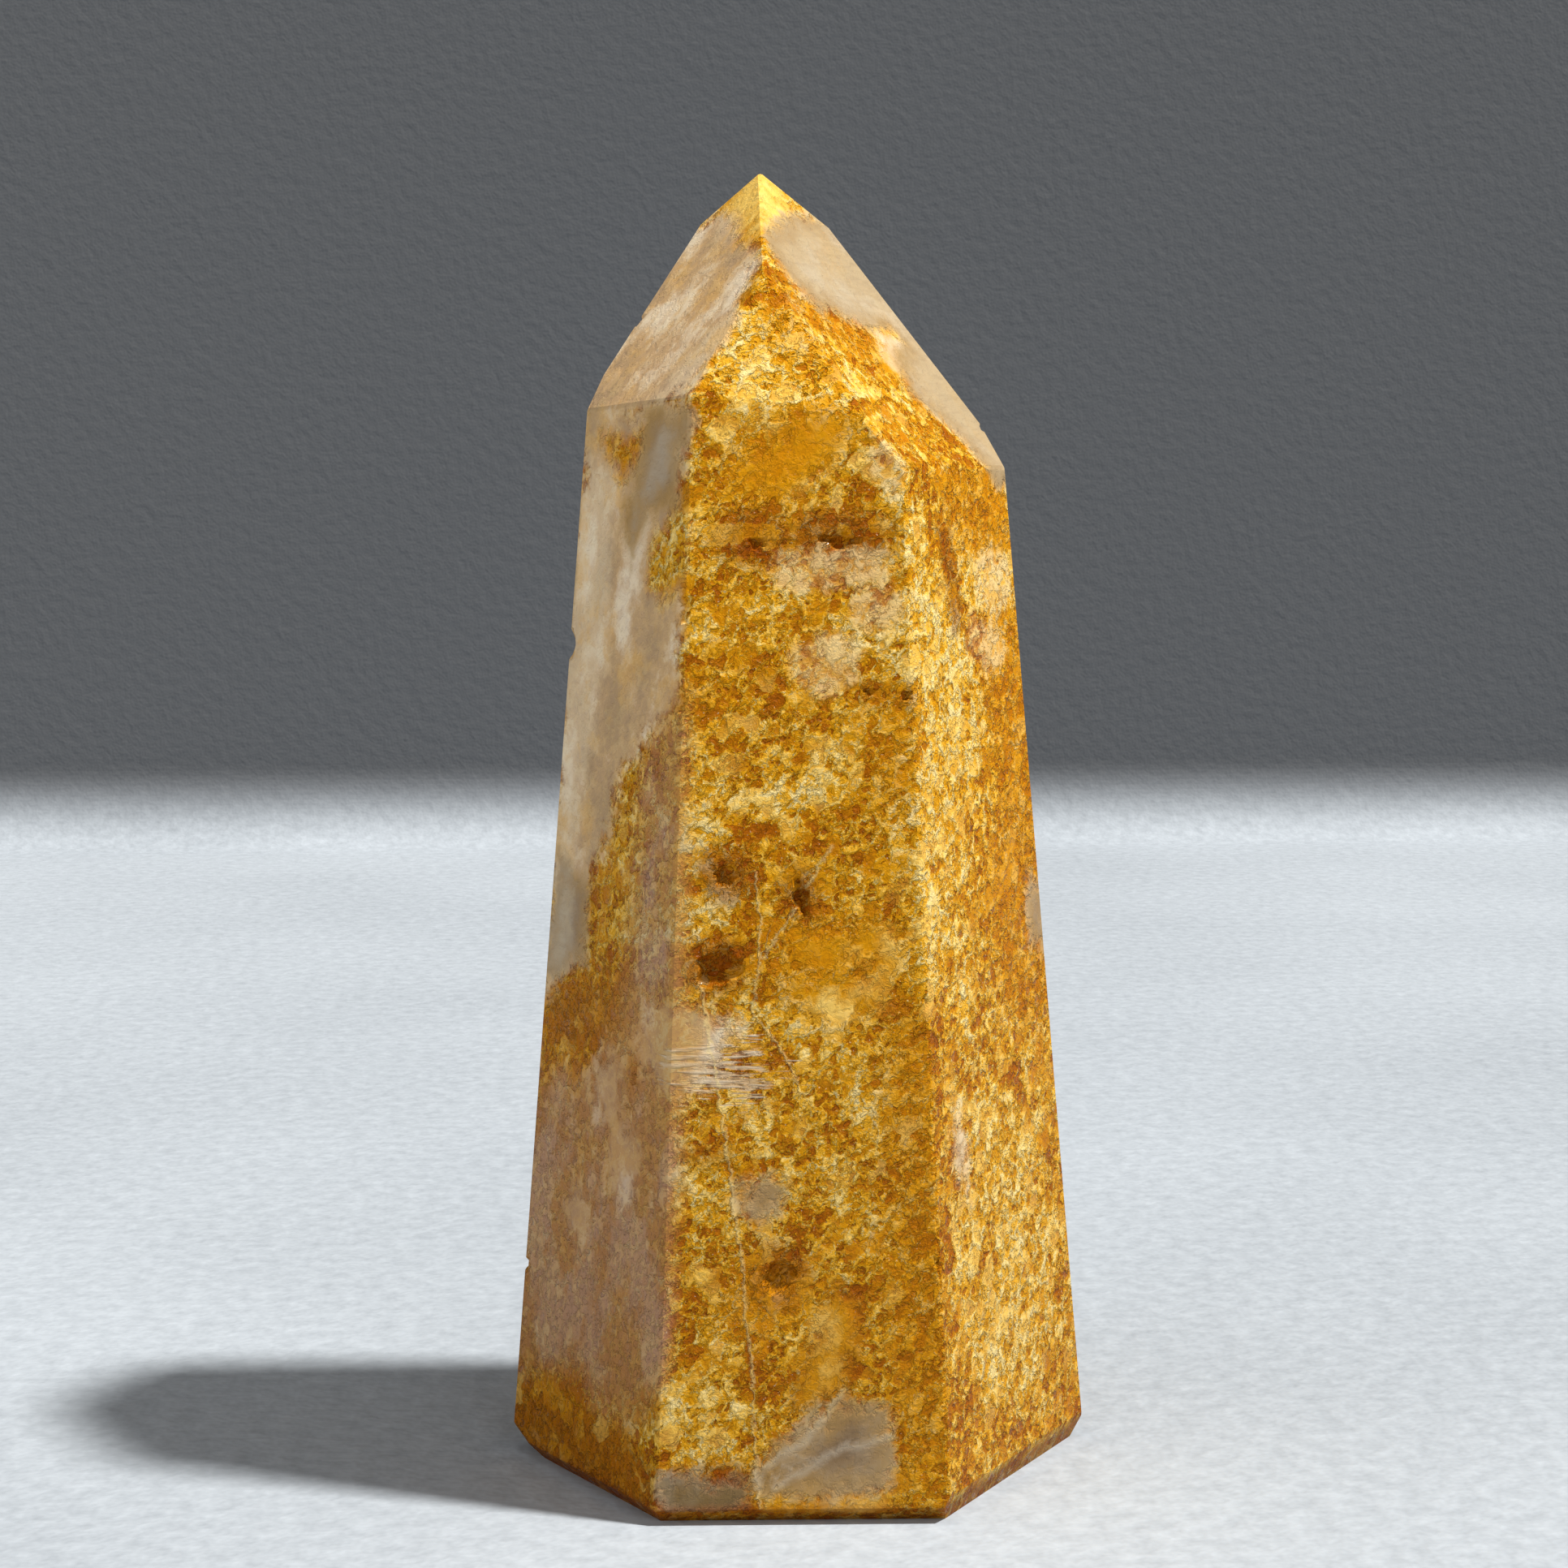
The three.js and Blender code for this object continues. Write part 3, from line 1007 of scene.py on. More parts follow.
@dataclass(frozen=True)
class Patterns:
    """What the stone is mixed from.

    Up is the height in millimetres, broad and ragged are noises about zero, smoke, strands and
    milk_tone are noises about one half, zone holds the share of each look, and fibres, plain, film
    and smooth are shares too.
    """

    shop: Shop
    up: Shade
    broad: Shade
    ragged: Shade
    smoke: Shade
    strands: Shade
    milk_tone: Shade
    grains: Grains
    zone: dict[Look, Shade]
    fibres: Shade
    plain: Shade
    film: Shade
    smooth: Shade


@dataclass(frozen=True)
class GoldenQuartz:
    """The finish of the tower: clear and milky quartz full of iron-gold healed grains, polished."""

    # The grains' colours, from the deepest to the palest. The deepest also paints the shade along the foot.
    rust: Colour = tint(0.26, 0.048, 0.001)
    sienna: Colour = tint(0.38, 0.105, 0.001)
    amber: Colour = tint(0.48, 0.165, 0.001)
    gold: Colour = tint(0.69, 0.312, 0.003)
    honey: Colour = tint(0.86, 0.455, 0.030)
    cream: Colour = tint(0.95, 0.630, 0.150)
    chalk: Colour = tint(0.98, 0.760, 0.320)
    # The glowing films, the veil's mist (partly painted shade), the white crumb (which also paints
    # one glint), the painted glints and the golden stain in the milk.
    fire: Colour = tint(0.66, 0.250, 0.001)
    # The veil's two colours are partly real haze, partly painted shade.
    mauve: Colour = tint(0.43, 0.255, 0.135)
    haze: Colour = tint(0.49, 0.375, 0.31)
    snow: Colour = tint(0.80, 0.57, 0.27)
    sparkle: Colour = tint(1.0, 0.92, 0.74)
    stain: Colour = tint(0.72, 0.42, 0.13)
    # The milk's colours.
    milk_brown: Colour = tint(0.47, 0.335, 0.20)
    milk: Colour = tint(0.61, 0.42, 0.235)
    milk_white: Colour = tint(0.84, 0.72, 0.55)
    # The windows' colours: at the foot, low, high, where they are pale, at their rim, and browned.
    window_foot: Colour = tint(0.42, 0.22, 0.04)
    window: Colour = tint(0.31, 0.195, 0.10)
    window_high: Colour = tint(0.44, 0.32, 0.205)
    window_bright: Colour = tint(0.94, 0.73, 0.43)
    window_rim: Colour = tint(0.62, 0.36, 0.09)
    olive: Colour = tint(0.10, 0.065, 0.02)
    # What the glass does to the light: its tint at the skin, and its colour deep inside.
    glass_tint: Colour = tint(0.97, 0.93, 0.86)
    absorbed: Colour = tint(0.95, 0.72, 0.42)
    # How much light the inside takes away, how strongly it bends light, how rough the polish is, how
    # much the bare stone mirrors, and the height of the relief in millimetres.
    absorption: float = 50.0
    ior: float = 1.54
    polish: float = 0.055
    mirror: float = 0.04
    relief: float = 0.6
    crumb: Crumb = Crumb()

    def _zones(self, shop: Shop, broad: Shade, ragged: Shade) -> dict[Look, Shade]:
        """Breaks up the edges of the mesh's fields with noise and turns them into shares.

        Each look has the weights of the two noises, and half the width of its edge in millimetres.

        Args:
            shop: The tree.
            broad: A broad noise about zero.
            ragged: A fine noise about zero.

        Returns:
            The share of each look, from 0 to 1.
        """
        softness = {
            Look.CLEAR: (0.7, 1.5, 0.8),
            Look.MILK: (1.4, 1.6, 0.9),
            Look.VEIL: (1.0, 0.6, 1.8),
            Look.GOLD: (0.8, 0.6, 0.9),
            Look.AMBER: (1.0, 0.7, 1.4),
            Look.BROWN: (0.5, 0.8, 0.8),
            Look.PALE: (1.0, 1.0, 1.0),
            Look.GLOW: (0.7, 0.6, 0.9),
            Look.SNOW: (0.5, 1.1, 0.5),
        }
        wander = broad * 4.2
        fray = ragged * 1.6
        return {
            look: (shop.attribute(look.value) + wander * slow + fray * fine).step(-edge, edge)
            for look, (slow, fine, edge) in softness.items()
        }

    def _patterns(self, shop: Shop) -> Patterns:
        """Places the noises and works out the shares.

        Args:
            shop: The tree.

        Returns:
            The patterns.
        """
        place = shop.scaled(shop.node("ShaderNodeTexCoord", output="Object"), 1 / MM)
        broad = shop.noise(place, 0.27, 4.0, 0.66) - 0.5
        grains = self.crumb.grown(shop, place)
        ragged = grains.flakes - 0.5
        zone = self._zones(shop, broad, ragged)
        smoke = shop.noise(shop.slanted(place, 0.4, (1, 1, 1.7)), 0.26, 3.0, 0.5)
        strands = shop.noise(shop.vector("MULTIPLY", place, (0.12, 0.12, 1.0)), 3.6, 2.0, 0.6)
        inside = shop.attribute(Look.FIBRES.value)
        fibres = (inside + broad * 2.5 + (strands - 0.5) * 7.0).step(-0.2, 1.0)
        plain = (zone[Look.MILK] * (1 - zone[Look.GOLD])).highest(zone[Look.CLEAR]).highest(fibres)
        cell_film = grains.film.step(0.78, 0.80) * 0.5 * (1 - zone[Look.VEIL])
        film = (zone[Look.GLOW] * 0.85).highest(cell_film)
        return Patterns(
            shop=shop,
            up=shop.part(place, 2, "XYZ"),
            broad=broad,
            ragged=ragged,
            smoke=smoke,
            strands=strands,
            milk_tone=smoke + ragged * 0.34 + (grains.dust - 0.5) * 0.08,
            grains=grains,
            zone=zone,
            fibres=fibres,
            plain=plain,
            film=film,
            smooth=plain.highest(film),
        )

    def _golden(self, made: Patterns) -> Shade:
        """Colours the grains.

        One tone runs from sienna in the pits, through amber and gold, to cream on the rims and lips,
        paler higher up and in the pale parts. Glints are painted where the dust is grittiest, and
        reddish brown and fire stain the brown and amber parts.

        Args:
            made: The patterns.

        Returns:
            The colour.
        """
        shop, grains, zone = made.shop, made.grains, made.zone
        lift = made.broad * 1.1 + zone[Look.PALE] * 0.20 - zone[Look.AMBER] * 0.07
        lift = lift + (made.up - 45.0) * 0.0006
        tone = (
            0.355
            + lift * 1.05
            + (grains.tone - 0.5) * 0.22
            + made.ragged * 0.62
            + (grains.chip_tone - 0.5) * 0.26
            + (grains.dust - 0.5) * 0.28
            + grains.rim * 0.28
            - grains.pit * 0.30
            + grains.lip * 0.40
        )
        stops = [
            (0.02, self.sienna),
            (0.21, self.amber),
            (0.42, self.gold),
            (0.62, self.honey),
            (0.82, self.cream),
            (1.0, self.chalk),
        ]
        ground = shop.ramp(tone, stops)
        # Painted glints: the grittiest dust is blended towards a near-white painted highlight.
        with_painted_glints = shop.blend(grains.dust.step(0.70, 0.76) * 0.4, ground, self.sparkle)
        browned = shop.blend(zone[Look.BROWN] * 0.7, with_painted_glints, self.rust)
        return shop.blend(zone[Look.AMBER] * 0.45, browned, self.fire)

    def _grainy(self, made: Patterns) -> Shade:
        """Colours the grainy stone: golden grains under glowing films, then white crumb with one painted
        glint, then the veil, which is partly painted shade.

        Args:
            made: The patterns.

        Returns:
            The colour.
        """
        shop, zone = made.shop, made.zone
        glow_tone = made.smoke + made.ragged * 0.3 + zone[Look.PALE] * 0.16
        glowing = shop.ramp(glow_tone, [(0.34, self.fire), (0.50, self.gold), (0.68, self.cream)])
        filmed = shop.blend(made.film, self._golden(made), glowing)
        snow_and_glint_share = zone[Look.SNOW] * (0.12 + made.grains.flakes.step(0.38, 0.60) * 0.63)
        with_snow_and_glint = shop.blend(snow_and_glint_share, filmed, self.snow)
        # The veil's mist: partly real milky haze, partly painted shade.
        pale_veil_share = (made.milk_tone - zone[Look.MILK] * 0.05).step(0.45, 0.60)
        veil_mist_and_painted_shade = shop.blend(pale_veil_share, self.mauve, self.haze)
        return shop.blend(zone[Look.VEIL] * (1 - zone[Look.BROWN] * 0.6) * 0.53, with_snow_and_glint, veil_mist_and_painted_shade)

    def _milky(self, made: Patterns) -> Shade:
        """Colours the milk: brown to white smoke, whiter in the pale parts, with a golden stain.

        Args:
            made: The patterns.

        Returns:
            The colour.
        """
        stops = [(0.35, self.milk_brown), (0.49, self.milk), (0.64, self.milk_white)]
        smoky = made.shop.ramp(made.milk_tone, stops)
        pale = made.shop.blend(made.zone[Look.PALE] * 0.4, smoky, self.milk_white)
        return made.shop.blend(made.broad.step(0.0, 0.16) * 0.5, pale, self.stain)

    def _window(self, made: Patterns) -> Shade:
        """Colours what shows in the windows: golden at the foot, misted, banded, rimmed, browned.

        Args:
            made: The patterns.

        Returns:
            The colour.
        """
        shop, zone = made.shop, made.zone
        stops = [(0.035, self.window_foot), (0.06, self.window), (0.95, self.window_high)]
        pane = shop.blend(zone[Look.PALE], shop.ramp(made.up / 70.0, stops), self.window_bright)
        misted = shop.blend(made.smoke.step(0.46, 0.64) * 0.4, pane, self.milk_white)
        banded = shop.blend(made.strands.step(0.48, 0.62) * 0.22, misted, self.milk_brown)
        depth = shop.attribute(Look.CLEAR.value) + made.broad * 3.0 + made.ragged * 1.5
        rimmed = shop.blend(depth.step(2.2, 0.2) * 0.8, banded, self.window_rim)
        return shop.blend(zone[Look.BROWN] * 0.85, rimmed, self.olive)

    def _vein(self, made: Patterns) -> Shade:
        """Gives the share of a vein: a ragged line, wider in clear stone, that fades at its ends.

        Args:
            made: The patterns.

        Returns:
            The share.
        """
        across = made.shop.attribute("vein_across") + made.ragged * 1.2
        half_width = 0.14 + made.zone[Look.CLEAR] * 0.35
        line = (1 - abs(across) / half_width).clamped()
        return line * made.shop.attribute("vein_near").step(0.3, 0.7)

    def _colour(self, made: Patterns, vein: Shade) -> Shade:
        """Lays milk, fibres, windows, painted shade along the foot and veins over the grains, darker lower
        down.

        Args:
            made: The patterns.
            vein: The share of a vein.

        Returns:
            The colour.
        """
        shop, zone = made.shop, made.zone
        clear = zone[Look.CLEAR]
        milk_share = made.plain * (0.9 - zone[Look.VEIL] * 0.45)
        with_milk = shop.blend(milk_share, self._grainy(made), self._milky(made))
        stops = [(0.34, self.milk_brown), (0.52, self.milk), (0.72, self.milk_white)]
        with_fibres = shop.blend(made.fibres * 0.5, with_milk, shop.ramp(made.strands, stops))
        window_share = clear * (0.85 - zone[Look.PALE] * 0.3)
        with_windows = shop.blend(window_share, with_fibres, self._window(made))
        # Painted shade: near the floor, where the bevels lie in shadow, the colour goes dark reddish brown.
        with_painted_foot_shade = shop.blend(made.up.step(1.5, 0.8) * 0.55, with_windows, self.rust)
        veined = shop.blend(vein * 0.5, with_painted_foot_shade, shop.blend(clear, self.chalk, self.milk_white))
        return shop.scaled(veined, 0.83 + made.up.step(0.0, 66.0) * 0.21)

    def _bump(self, made: Patterns, vein: Shade) -> Shade:
        """Raises the grains and veins, less where the stone is smooth, under the veil or under white crumb.

        Args:
            made: The patterns.
            vein: The share of a vein.

        Returns:
            The normal.
        """
        calm = (made.zone[Look.VEIL] * 0.5).highest(made.zone[Look.SNOW] * 0.4)
        height = (made.grains.rise - 0.65 + vein * 0.2) * (1 - made.smooth * 0.9) * (1 - calm)
        ribbed = height + made.strands * made.fibres * 0.15
        sockets = {"Strength": 1.0, "Distance": self.relief * MM, "Height": ribbed}
        return made.shop.node("ShaderNodeBump", sockets=sockets)

    def _stone(self, made: Patterns, colour: Shade, bump: Shade) -> Shade:
        """Polishes the stone: glossier where it is plain, with a glittering chip here and there.

        Args:
            made: The patterns.
            colour: The colour.
            bump: The normal.

        Returns:
            The shader.
        """
        glitter = made.grains.chip_tone.step(0.88, 0.91) * (1 - made.plain)
        sockets = {
            "Base Color": colour,
            "Roughness": 0.45 - glitter * 0.33 - made.plain * 0.15,
            "IOR": self.ior,
            "Normal": bump,
            "Specular IOR Level": self.mirror,
            "Coat Weight": 0.04 + made.smooth * 0.09,
            "Coat Roughness": self.polish,
            "Coat IOR": self.ior,
        }
        return made.shop.node("ShaderNodeBsdfPrincipled", sockets=sockets)

    def material(self) -> bpy.types.Material:
        """Builds the finish: the stone, with glass mixed in where it is clear, and a tinted inside.

        Returns:
            The material.
        """
        shop = Shop("polished_golden_quartz")
        made = self._patterns(shop)
        vein = self._vein(made)
        stone = self._stone(made, self._colour(made, vein), self._bump(made, vein))
        glassy = {
            "Base Color": self.glass_tint,
            "Roughness": self.polish,
            "IOR": self.ior,
            "Transmission Weight": 1.0,
        }
        glass = shop.node("ShaderNodeBsdfPrincipled", sockets=glassy)
        zone = made.zone
        through = zone[Look.CLEAR] * (0.32 + zone[Look.PALE] * 0.12 - zone[Look.BROWN] * 0.27)
        shown = shop.node("ShaderNodeMixShader", sockets={0: through, 1: stone, 2: glass})
        tinted = {"Color": self.absorbed, "Density": self.absorption}
        return shop.finish(shown, shop.node("ShaderNodeVolumeAbsorption", sockets=tinted))


@dataclass
class QuartzTower:
    """The crystal: six leaning sides, a six-facet point, bevels, a heel, nicks and hollows.

    Ridge_flat is the width of the flat on each ridge, row and fine_row are the gaps between the
    grids' rows, and the margins are how far above and below a nick or a hollow the fine rows run.
    """

    ridge_flat: float = 0.28
    row: float = 0.54
    fine_row: float = 0.16
    nick_margin: float = 0.2
    hollow_margin: float = 0.3
    least_gap: float = 0.05
    trial_rows: int = 8000
    base_rings: int = 8
    sides: dict[Face, Side] = field(
        default_factory=lambda: {
            Face.FRONT: Side(-92, 4.2, 15.9, 84, bevel_up=1.0, bevel_in=1.1),
            Face.FRONT_LEFT: Side(-150, 3.9, 16.0, 44, bevel_up=1.0, bevel_in=0.9),
            Face.FRONT_RIGHT: Side(-32.5, 4.3, 15.4, 44, bevel_up=1.6, bevel_in=0.75),
            Face.BACK_LEFT: Side(151, 4.0, 15.7, bevel_up=1.3, bevel_in=1.1),
            Face.BACK_RIGHT: Side(30.5, 4.5, 15.9, bevel_up=1.3, bevel_in=0.9),
            Face.BACK: Side(90, 4.2, 15.8, bevel_up=1.0, bevel_in=1.0),
        }
    )
    point: dict[Face, Facet] = field(
        default_factory=lambda: {
            Face.BROAD_LEFT: Facet(-152.5, 36.8, 48.6, 44),
            Face.BROAD_RIGHT: Facet(-31.5, 37.8, 46.5, 44),
            Face.BROAD_BACK: Facet(92.5, 35.2, 48.2),
            Face.NARROW_FRONT: Facet(-89.5, 23.5, 36.3, 50),
            Face.NARROW_LEFT: Facet(153, 22.6, 36.25),
            Face.NARROW_RIGHT: Facet(34.7, 25.8, 37.55),
        }
    )
    heel: Facet = Facet(180, -49.5, 10.45, 12)
    nicks: tuple[Nick, ...] = (
        Nick((Face.BROAD_LEFT, Face.NARROW_LEFT), 70.8, 1.3, 1.1, 0.42),
        Nick((Face.FRONT_LEFT, Face.BACK_LEFT), 51.0, 2.0, 1.3, 0.45),
        Nick((Face.FRONT, Face.FRONT_LEFT), 53.8, 1.6, 1.0, 0.32),
        Nick((Face.FRONT, Face.FRONT_LEFT), 48.5, 1.1, 0.8, 0.26),
        Nick((Face.BROAD_RIGHT, Face.BACK_RIGHT), 64.2, 0.9, 0.8, 0.3),
        Nick((Face.FRONT, Face.FRONT_RIGHT), 30.8, 1.4, 0.9, 0.28),
        Nick((Face.FRONT, Face.FRONT_RIGHT), 15.4, 1.2, 0.8, 0.26),
        Nick((Face.FRONT_LEFT, Face.BACK_LEFT), 12.0, 1.2, 0.9, 0.3),
        Nick((Face.BACK, Face.BACK_RIGHT), 37.5, 1.5, 1.0, 0.32),
        Nick((Face.BACK, Face.BACK_LEFT), 21.0, 1.2, 0.9, 0.28),
    )
    hollows: tuple[Hollow, ...] = (
        Hollow(Face.FRONT, 57.6, -2.7, 1.3, 0.9, 0.36, 10),
        Hollow(Face.FRONT, 57.7, 2.1, 2.7, 1.2, 0.46, -4),
        Hollow(Face.FRONT, 38.3, -4.6, 1.5, 1.3, 0.40, 35),
        Hollow(Face.FRONT, 37.0, -0.3, 0.8, 1.8, 0.34, 12),
        Hollow(Face.FRONT, 32.9, -5.1, 2.3, 1.7, 0.50, 20),
        Hollow(Face.FRONT, 14.7, -1.6, 1.5, 2.0, 0.40, -35),
        Hollow(Face.FRONT, 48.7, 6.0, 0.8, 0.7, 0.31, 0),
        Hollow(Face.FRONT, 48.9, 3.8, 0.8, 0.6, 0.31, 0),
        Hollow(Face.FRONT_LEFT, 25.9, 3.7, 0.5, 1.6, 0.31, -8),
        Hollow(Face.BACK_RIGHT, 44.0, 2.0, 2.2, 1.4, 0.56, 25),
        Hollow(Face.BACK, 30.0, -3.0, 1.8, 2.4, 0.62, 15),
        Hollow(Face.BACK_LEFT, 18.0, 1.5, 1.5, 1.1, 0.5, -20),
    )
    patches: Patches = Patches()
    veins: tuple[Vein, ...] = (
        Vein(Face.FRONT, ((1.3, 39.6), (-0.3, 36.8), (-2.7, 33.0), (-3.2, 30.4))),
        Vein(Face.FRONT, ((-2.9, 38.0), (-2.6, 35.8), (-2.7, 33.0))),
        Vein(Face.FRONT, ((-6.2, 32.1), (-5.3, 26.8), (-4.7, 23.0), (-3.8, 15.9), (-3.2, 8.7), (-2.8, 1.5))),
        Vein(Face.FRONT, ((-3.2, 30.4), (-1.5, 28.2), (-0.3, 25.8))),
        Vein(Face.FRONT, ((2.0, 7.7), (-0.1, 5.0), (-2.3, 3.6))),
        Vein(Face.FRONT, ((5.0, 5.2), (2.2, 4.6), (-1.6, 2.4))),
    )
    finish: GoldenQuartz = GoldenQuartz()
    cut: dict[Face, Cut] = field(init=False)
    stone: CutStone = field(init=False)
    shift: np.ndarray = field(init=False)

    def __post_init__(self) -> None:
        """Works out the cuts, and the shift that stands the middle of their box over the origin.

        The cuts are the sides, the point and the heel, then the bevels, a flat on each ridge
        between the first three kinds, and the base.
        """
        named = {**self.sides, **self.point, Face.HEEL: self.heel}
        self.cut = {face: facet.cut() for face, facet in named.items()}
        faces = list(self.cut.values())
        bevels = [side.bevel() for side in self.sides.values()]
        base = Cut(-UP, 0.0, 0)
        rough = CutStone([*faces, *bevels, base])
        flats = [self._ridge_flat(*ridge) for ridge in rough.ridges(len(faces))]
        self.stone = CutStone([*faces, *bevels, *flats, base])
        low, high = self.stone.corners.min(axis=0), self.stone.corners.max(axis=0)
        self.shift = np.array([-(low[0] + high[0]) / 2, -(low[1] + high[1]) / 2, 0.0])

    def _ridge_flat(self, a: Cut, b: Cut, on_ridge: np.ndarray) -> Cut:
        """Makes the flat that breaks a ridge.

        It lies square to the ridge's bisector, sunk below the ridge by half its width times the
        tangent of half the turn between the cuts.

        Args:
            a: One cut of the ridge.
            b: The other.
            on_ridge: A point of the ridge.

        Returns:
            The flat.
        """
        out = a.normal + b.normal
        normal = out / np.linalg.norm(out)
        turn = math.acos(float(a.normal @ b.normal))
        sunk = self.ridge_flat / 2 * math.tan(turn / 2)
        return Cut(normal, float(normal @ on_ridge) - sunk, 2)

    def _levels(self) -> np.ndarray:
        """Chooses the heights of the grids' rows: each corner's, and enough between them.

        Going up in small steps, the step over the gap that is wanted there adds up, and a row
        stands wherever the sum passes a whole number. The gap is fine beside a nick or a hollow.

        Returns:
            The heights, rising.
        """
        fine = [(nick.height, nick.long / 2 + self.nick_margin) for nick in self.nicks]
        fine += [(hollow.height, hollow.tall / 2 + self.hollow_margin) for hollow in self.hollows]
        corner_levels = np.unique(self.stone.corners[:, 2])
        trial = np.linspace(0, corner_levels[-1], self.trial_rows)
        dense = np.zeros(len(trial), bool)
        for middle, half in fine:
            dense |= np.abs(trial - middle) < half
        gap = np.where(dense[1:], self.fine_row, self.row)
        steps = np.concatenate([[0], np.cumsum((trial[1] - trial[0]) / gap)])
        regular = np.interp(np.arange(1, int(steps[-1])), steps, trial)
        to_corner = np.abs(regular[:, None] - corner_levels).min(axis=1)
        return np.sort(np.concatenate([corner_levels, regular[to_corner > self.least_gap]]))

    def _nick_bite(self, nick: Nick, number: int) -> Bite:
        """Gives the pebble that chips a ridge: centred on it, long along it, deep square to it.

        Args:
            nick: The nick.
            number: The pebble's number.

        Returns:
            The bite.
        """
        a, b = (self.cut[face] for face in nick.ridge)
        along = np.cross(a.normal, b.normal)
        along /= np.linalg.norm(along)
        out = a.normal + b.normal
        out /= np.linalg.norm(out)
        system = np.array([a.normal, b.normal, UP])
        centre = np.linalg.solve(system, np.array([a.reach, b.reach, nick.height]))
        axes = np.array([along, np.cross(out, along), out])
        return Bite(centre, axes, np.array([nick.long / 2, nick.wide / 2, nick.deep]), number)

    def _hollow_bite(self, hollow: Hollow, number: int) -> Bite:
        """Gives the pebble that hollows a face: centred on it and turned in it.

        Args:
            hollow: The hollow.
            number: The pebble's number.

        Returns:
            The bite.
        """
        cut = self.cut[hollow.face]
        turn = math.radians(hollow.turn)
        first = math.cos(turn) * cut.across + math.sin(turn) * cut.upslope
        axes = np.array([first, np.cross(cut.normal, first), cut.normal])
        half = np.array([hollow.wide / 2, hollow.tall / 2, hollow.deep])
        return Bite(cut.place(hollow.aside, hollow.height), axes, half, number)

    def _base_grid(self, ring: np.ndarray) -> np.ndarray:
        """Fills the base with rings that shrink evenly to its middle.

        Args:
            ring: The points round the base's edge, in any order.

        Returns:
            A grid whose first row is the ring and whose last is the middle.
        """
        middle = ring.mean(axis=0)
        turn = np.arctan2(ring[:, 1] - middle[1], ring[:, 0] - middle[0])
        ordered = ring[np.argsort(turn)]
        keep = np.linalg.norm(ordered - np.roll(ordered, 1, axis=0), axis=1) > TOUCH
        closed = np.concatenate([ordered[keep], ordered[keep][:1]])
        share = np.linspace(0, 1, self.base_rings + 1)[:, None, None]
        return middle + (1 - share) * (closed[None] - middle)

    def shape(self) -> bpy.types.Object:
        """Builds the skin: a grid on each cut, the base, and the bites pressed in.

        Returns:
            The tower's object, in metres, standing on the middle of its base.
        """
        levels = self._levels()
        grids = [self.stone.facet_grid(number, levels) for number in range(len(self.stone.cuts) - 1)]
        ring = np.concatenate([grid.reshape(-1, 3) for grid in grids])
        ring = ring[np.abs(ring[:, 2]) < INSIDE]
        grids.append(self._base_grid(ring)[:, ::-1])
        bites = [self._nick_bite(nick, number) for number, nick in enumerate(self.nicks, 1)]
        bites += [self._hollow_bite(hollow, number) for number, hollow in enumerate(self.hollows, 1)]
        skin = Skin()
        for grid in grids:
            flat = grid.reshape(-1, 3)
            for bite in bites:
                flat = bite.press(flat)
            skin.add_grid(flat.reshape(grid.shape))
        return skin.weld("golden_tower", self.shift)

    def _write_fields(self, mesh: bpy.types.Mesh) -> None:
        """Writes how far inside each look, and how near a vein, each of the mesh's points lies.

        Args:
            mesh: The tower's mesh.
        """
        flat = np.empty(len(mesh.vertices) * 3)
        mesh.vertices.foreach_get("co", flat)
        points = flat.reshape(-1, 3) / MM - self.shift
        values = {}
        for look in Look:
            depths = [one.depths(self.cut[face], points) for face, one in self.patches if one.look is look]
            values[look.value] = np.clip(np.max(depths, axis=0), -FAR, FAR)
        pairs = [vein.places(self.cut[vein.face], points) for vein in self.veins]
        across, near = (np.array(part) for part in zip(*pairs))
        nearest = near.argmax(axis=0)
        row = np.arange(len(points))
        values["vein_across"] = across[nearest, row]
        values["vein_near"] = near[nearest, row]
        for name, value in values.items():
            mesh.attributes.new(name, "FLOAT", "POINT").data.foreach_set("value", value)

    def build(self) -> bpy.types.Object:
        """Builds and dresses the tower, which stands for the CAD crystal.

        Returns:
            The finished object.
        """
        piece = self.shape()
        self._write_fields(piece.data)
        piece.data.materials.append(self.finish.material())
        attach(piece, "root")
        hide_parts("quartz_tower")
        return piece


@dataclass(frozen=True)
class PalePlaster:
    """The floor's finish: pale, faintly clouded plaster, with painted shade that darkens it where it turns
    up.
    """

    dim: Colour = tint(0.34, 0.385, 0.45)
    pale: Colour = tint(0.49, 0.55, 0.635)
    wall: Colour = tint(0.120, 0.128, 0.142)
    grain_rate: float = 620.0
    cloud_rate: float = 14.0
    relief: float = 0.0004

    def material(self, bend: float) -> bpy.types.Material:
        """Builds the finish.

        Args:
            bend: The height over which the floor turns up, in metres.

        Returns:
            The material.
        """
        shop = Shop("pale_plaster")
        place = shop.node("ShaderNodeTexCoord", output="Object")
        grain = shop.noise(place, self.grain_rate, 2.0, 0.7)
        cloud = shop.noise(place, self.cloud_rate, 2.0, 0.6)
        level = shop.ramp(grain * 0.6 + cloud * 0.4, [(0.3, self.dim), (0.7, self.pale)])
        # Painted shade: where the sheet turns up behind the stone, its colour is blended to dark grey.
        colour = shop.blend(shop.part(place, 2, "XYZ").step(0.0, bend), level, self.wall)
        raised = {"Strength": 0.4, "Distance": self.relief, "Height": grain}
        bump = shop.node("ShaderNodeBump", sockets=raised)
        sockets = {"Base Color": colour, "Roughness": 0.85, "Normal": bump}
        return shop.finish(shop.node("ShaderNodeBsdfPrincipled", sockets=sockets))


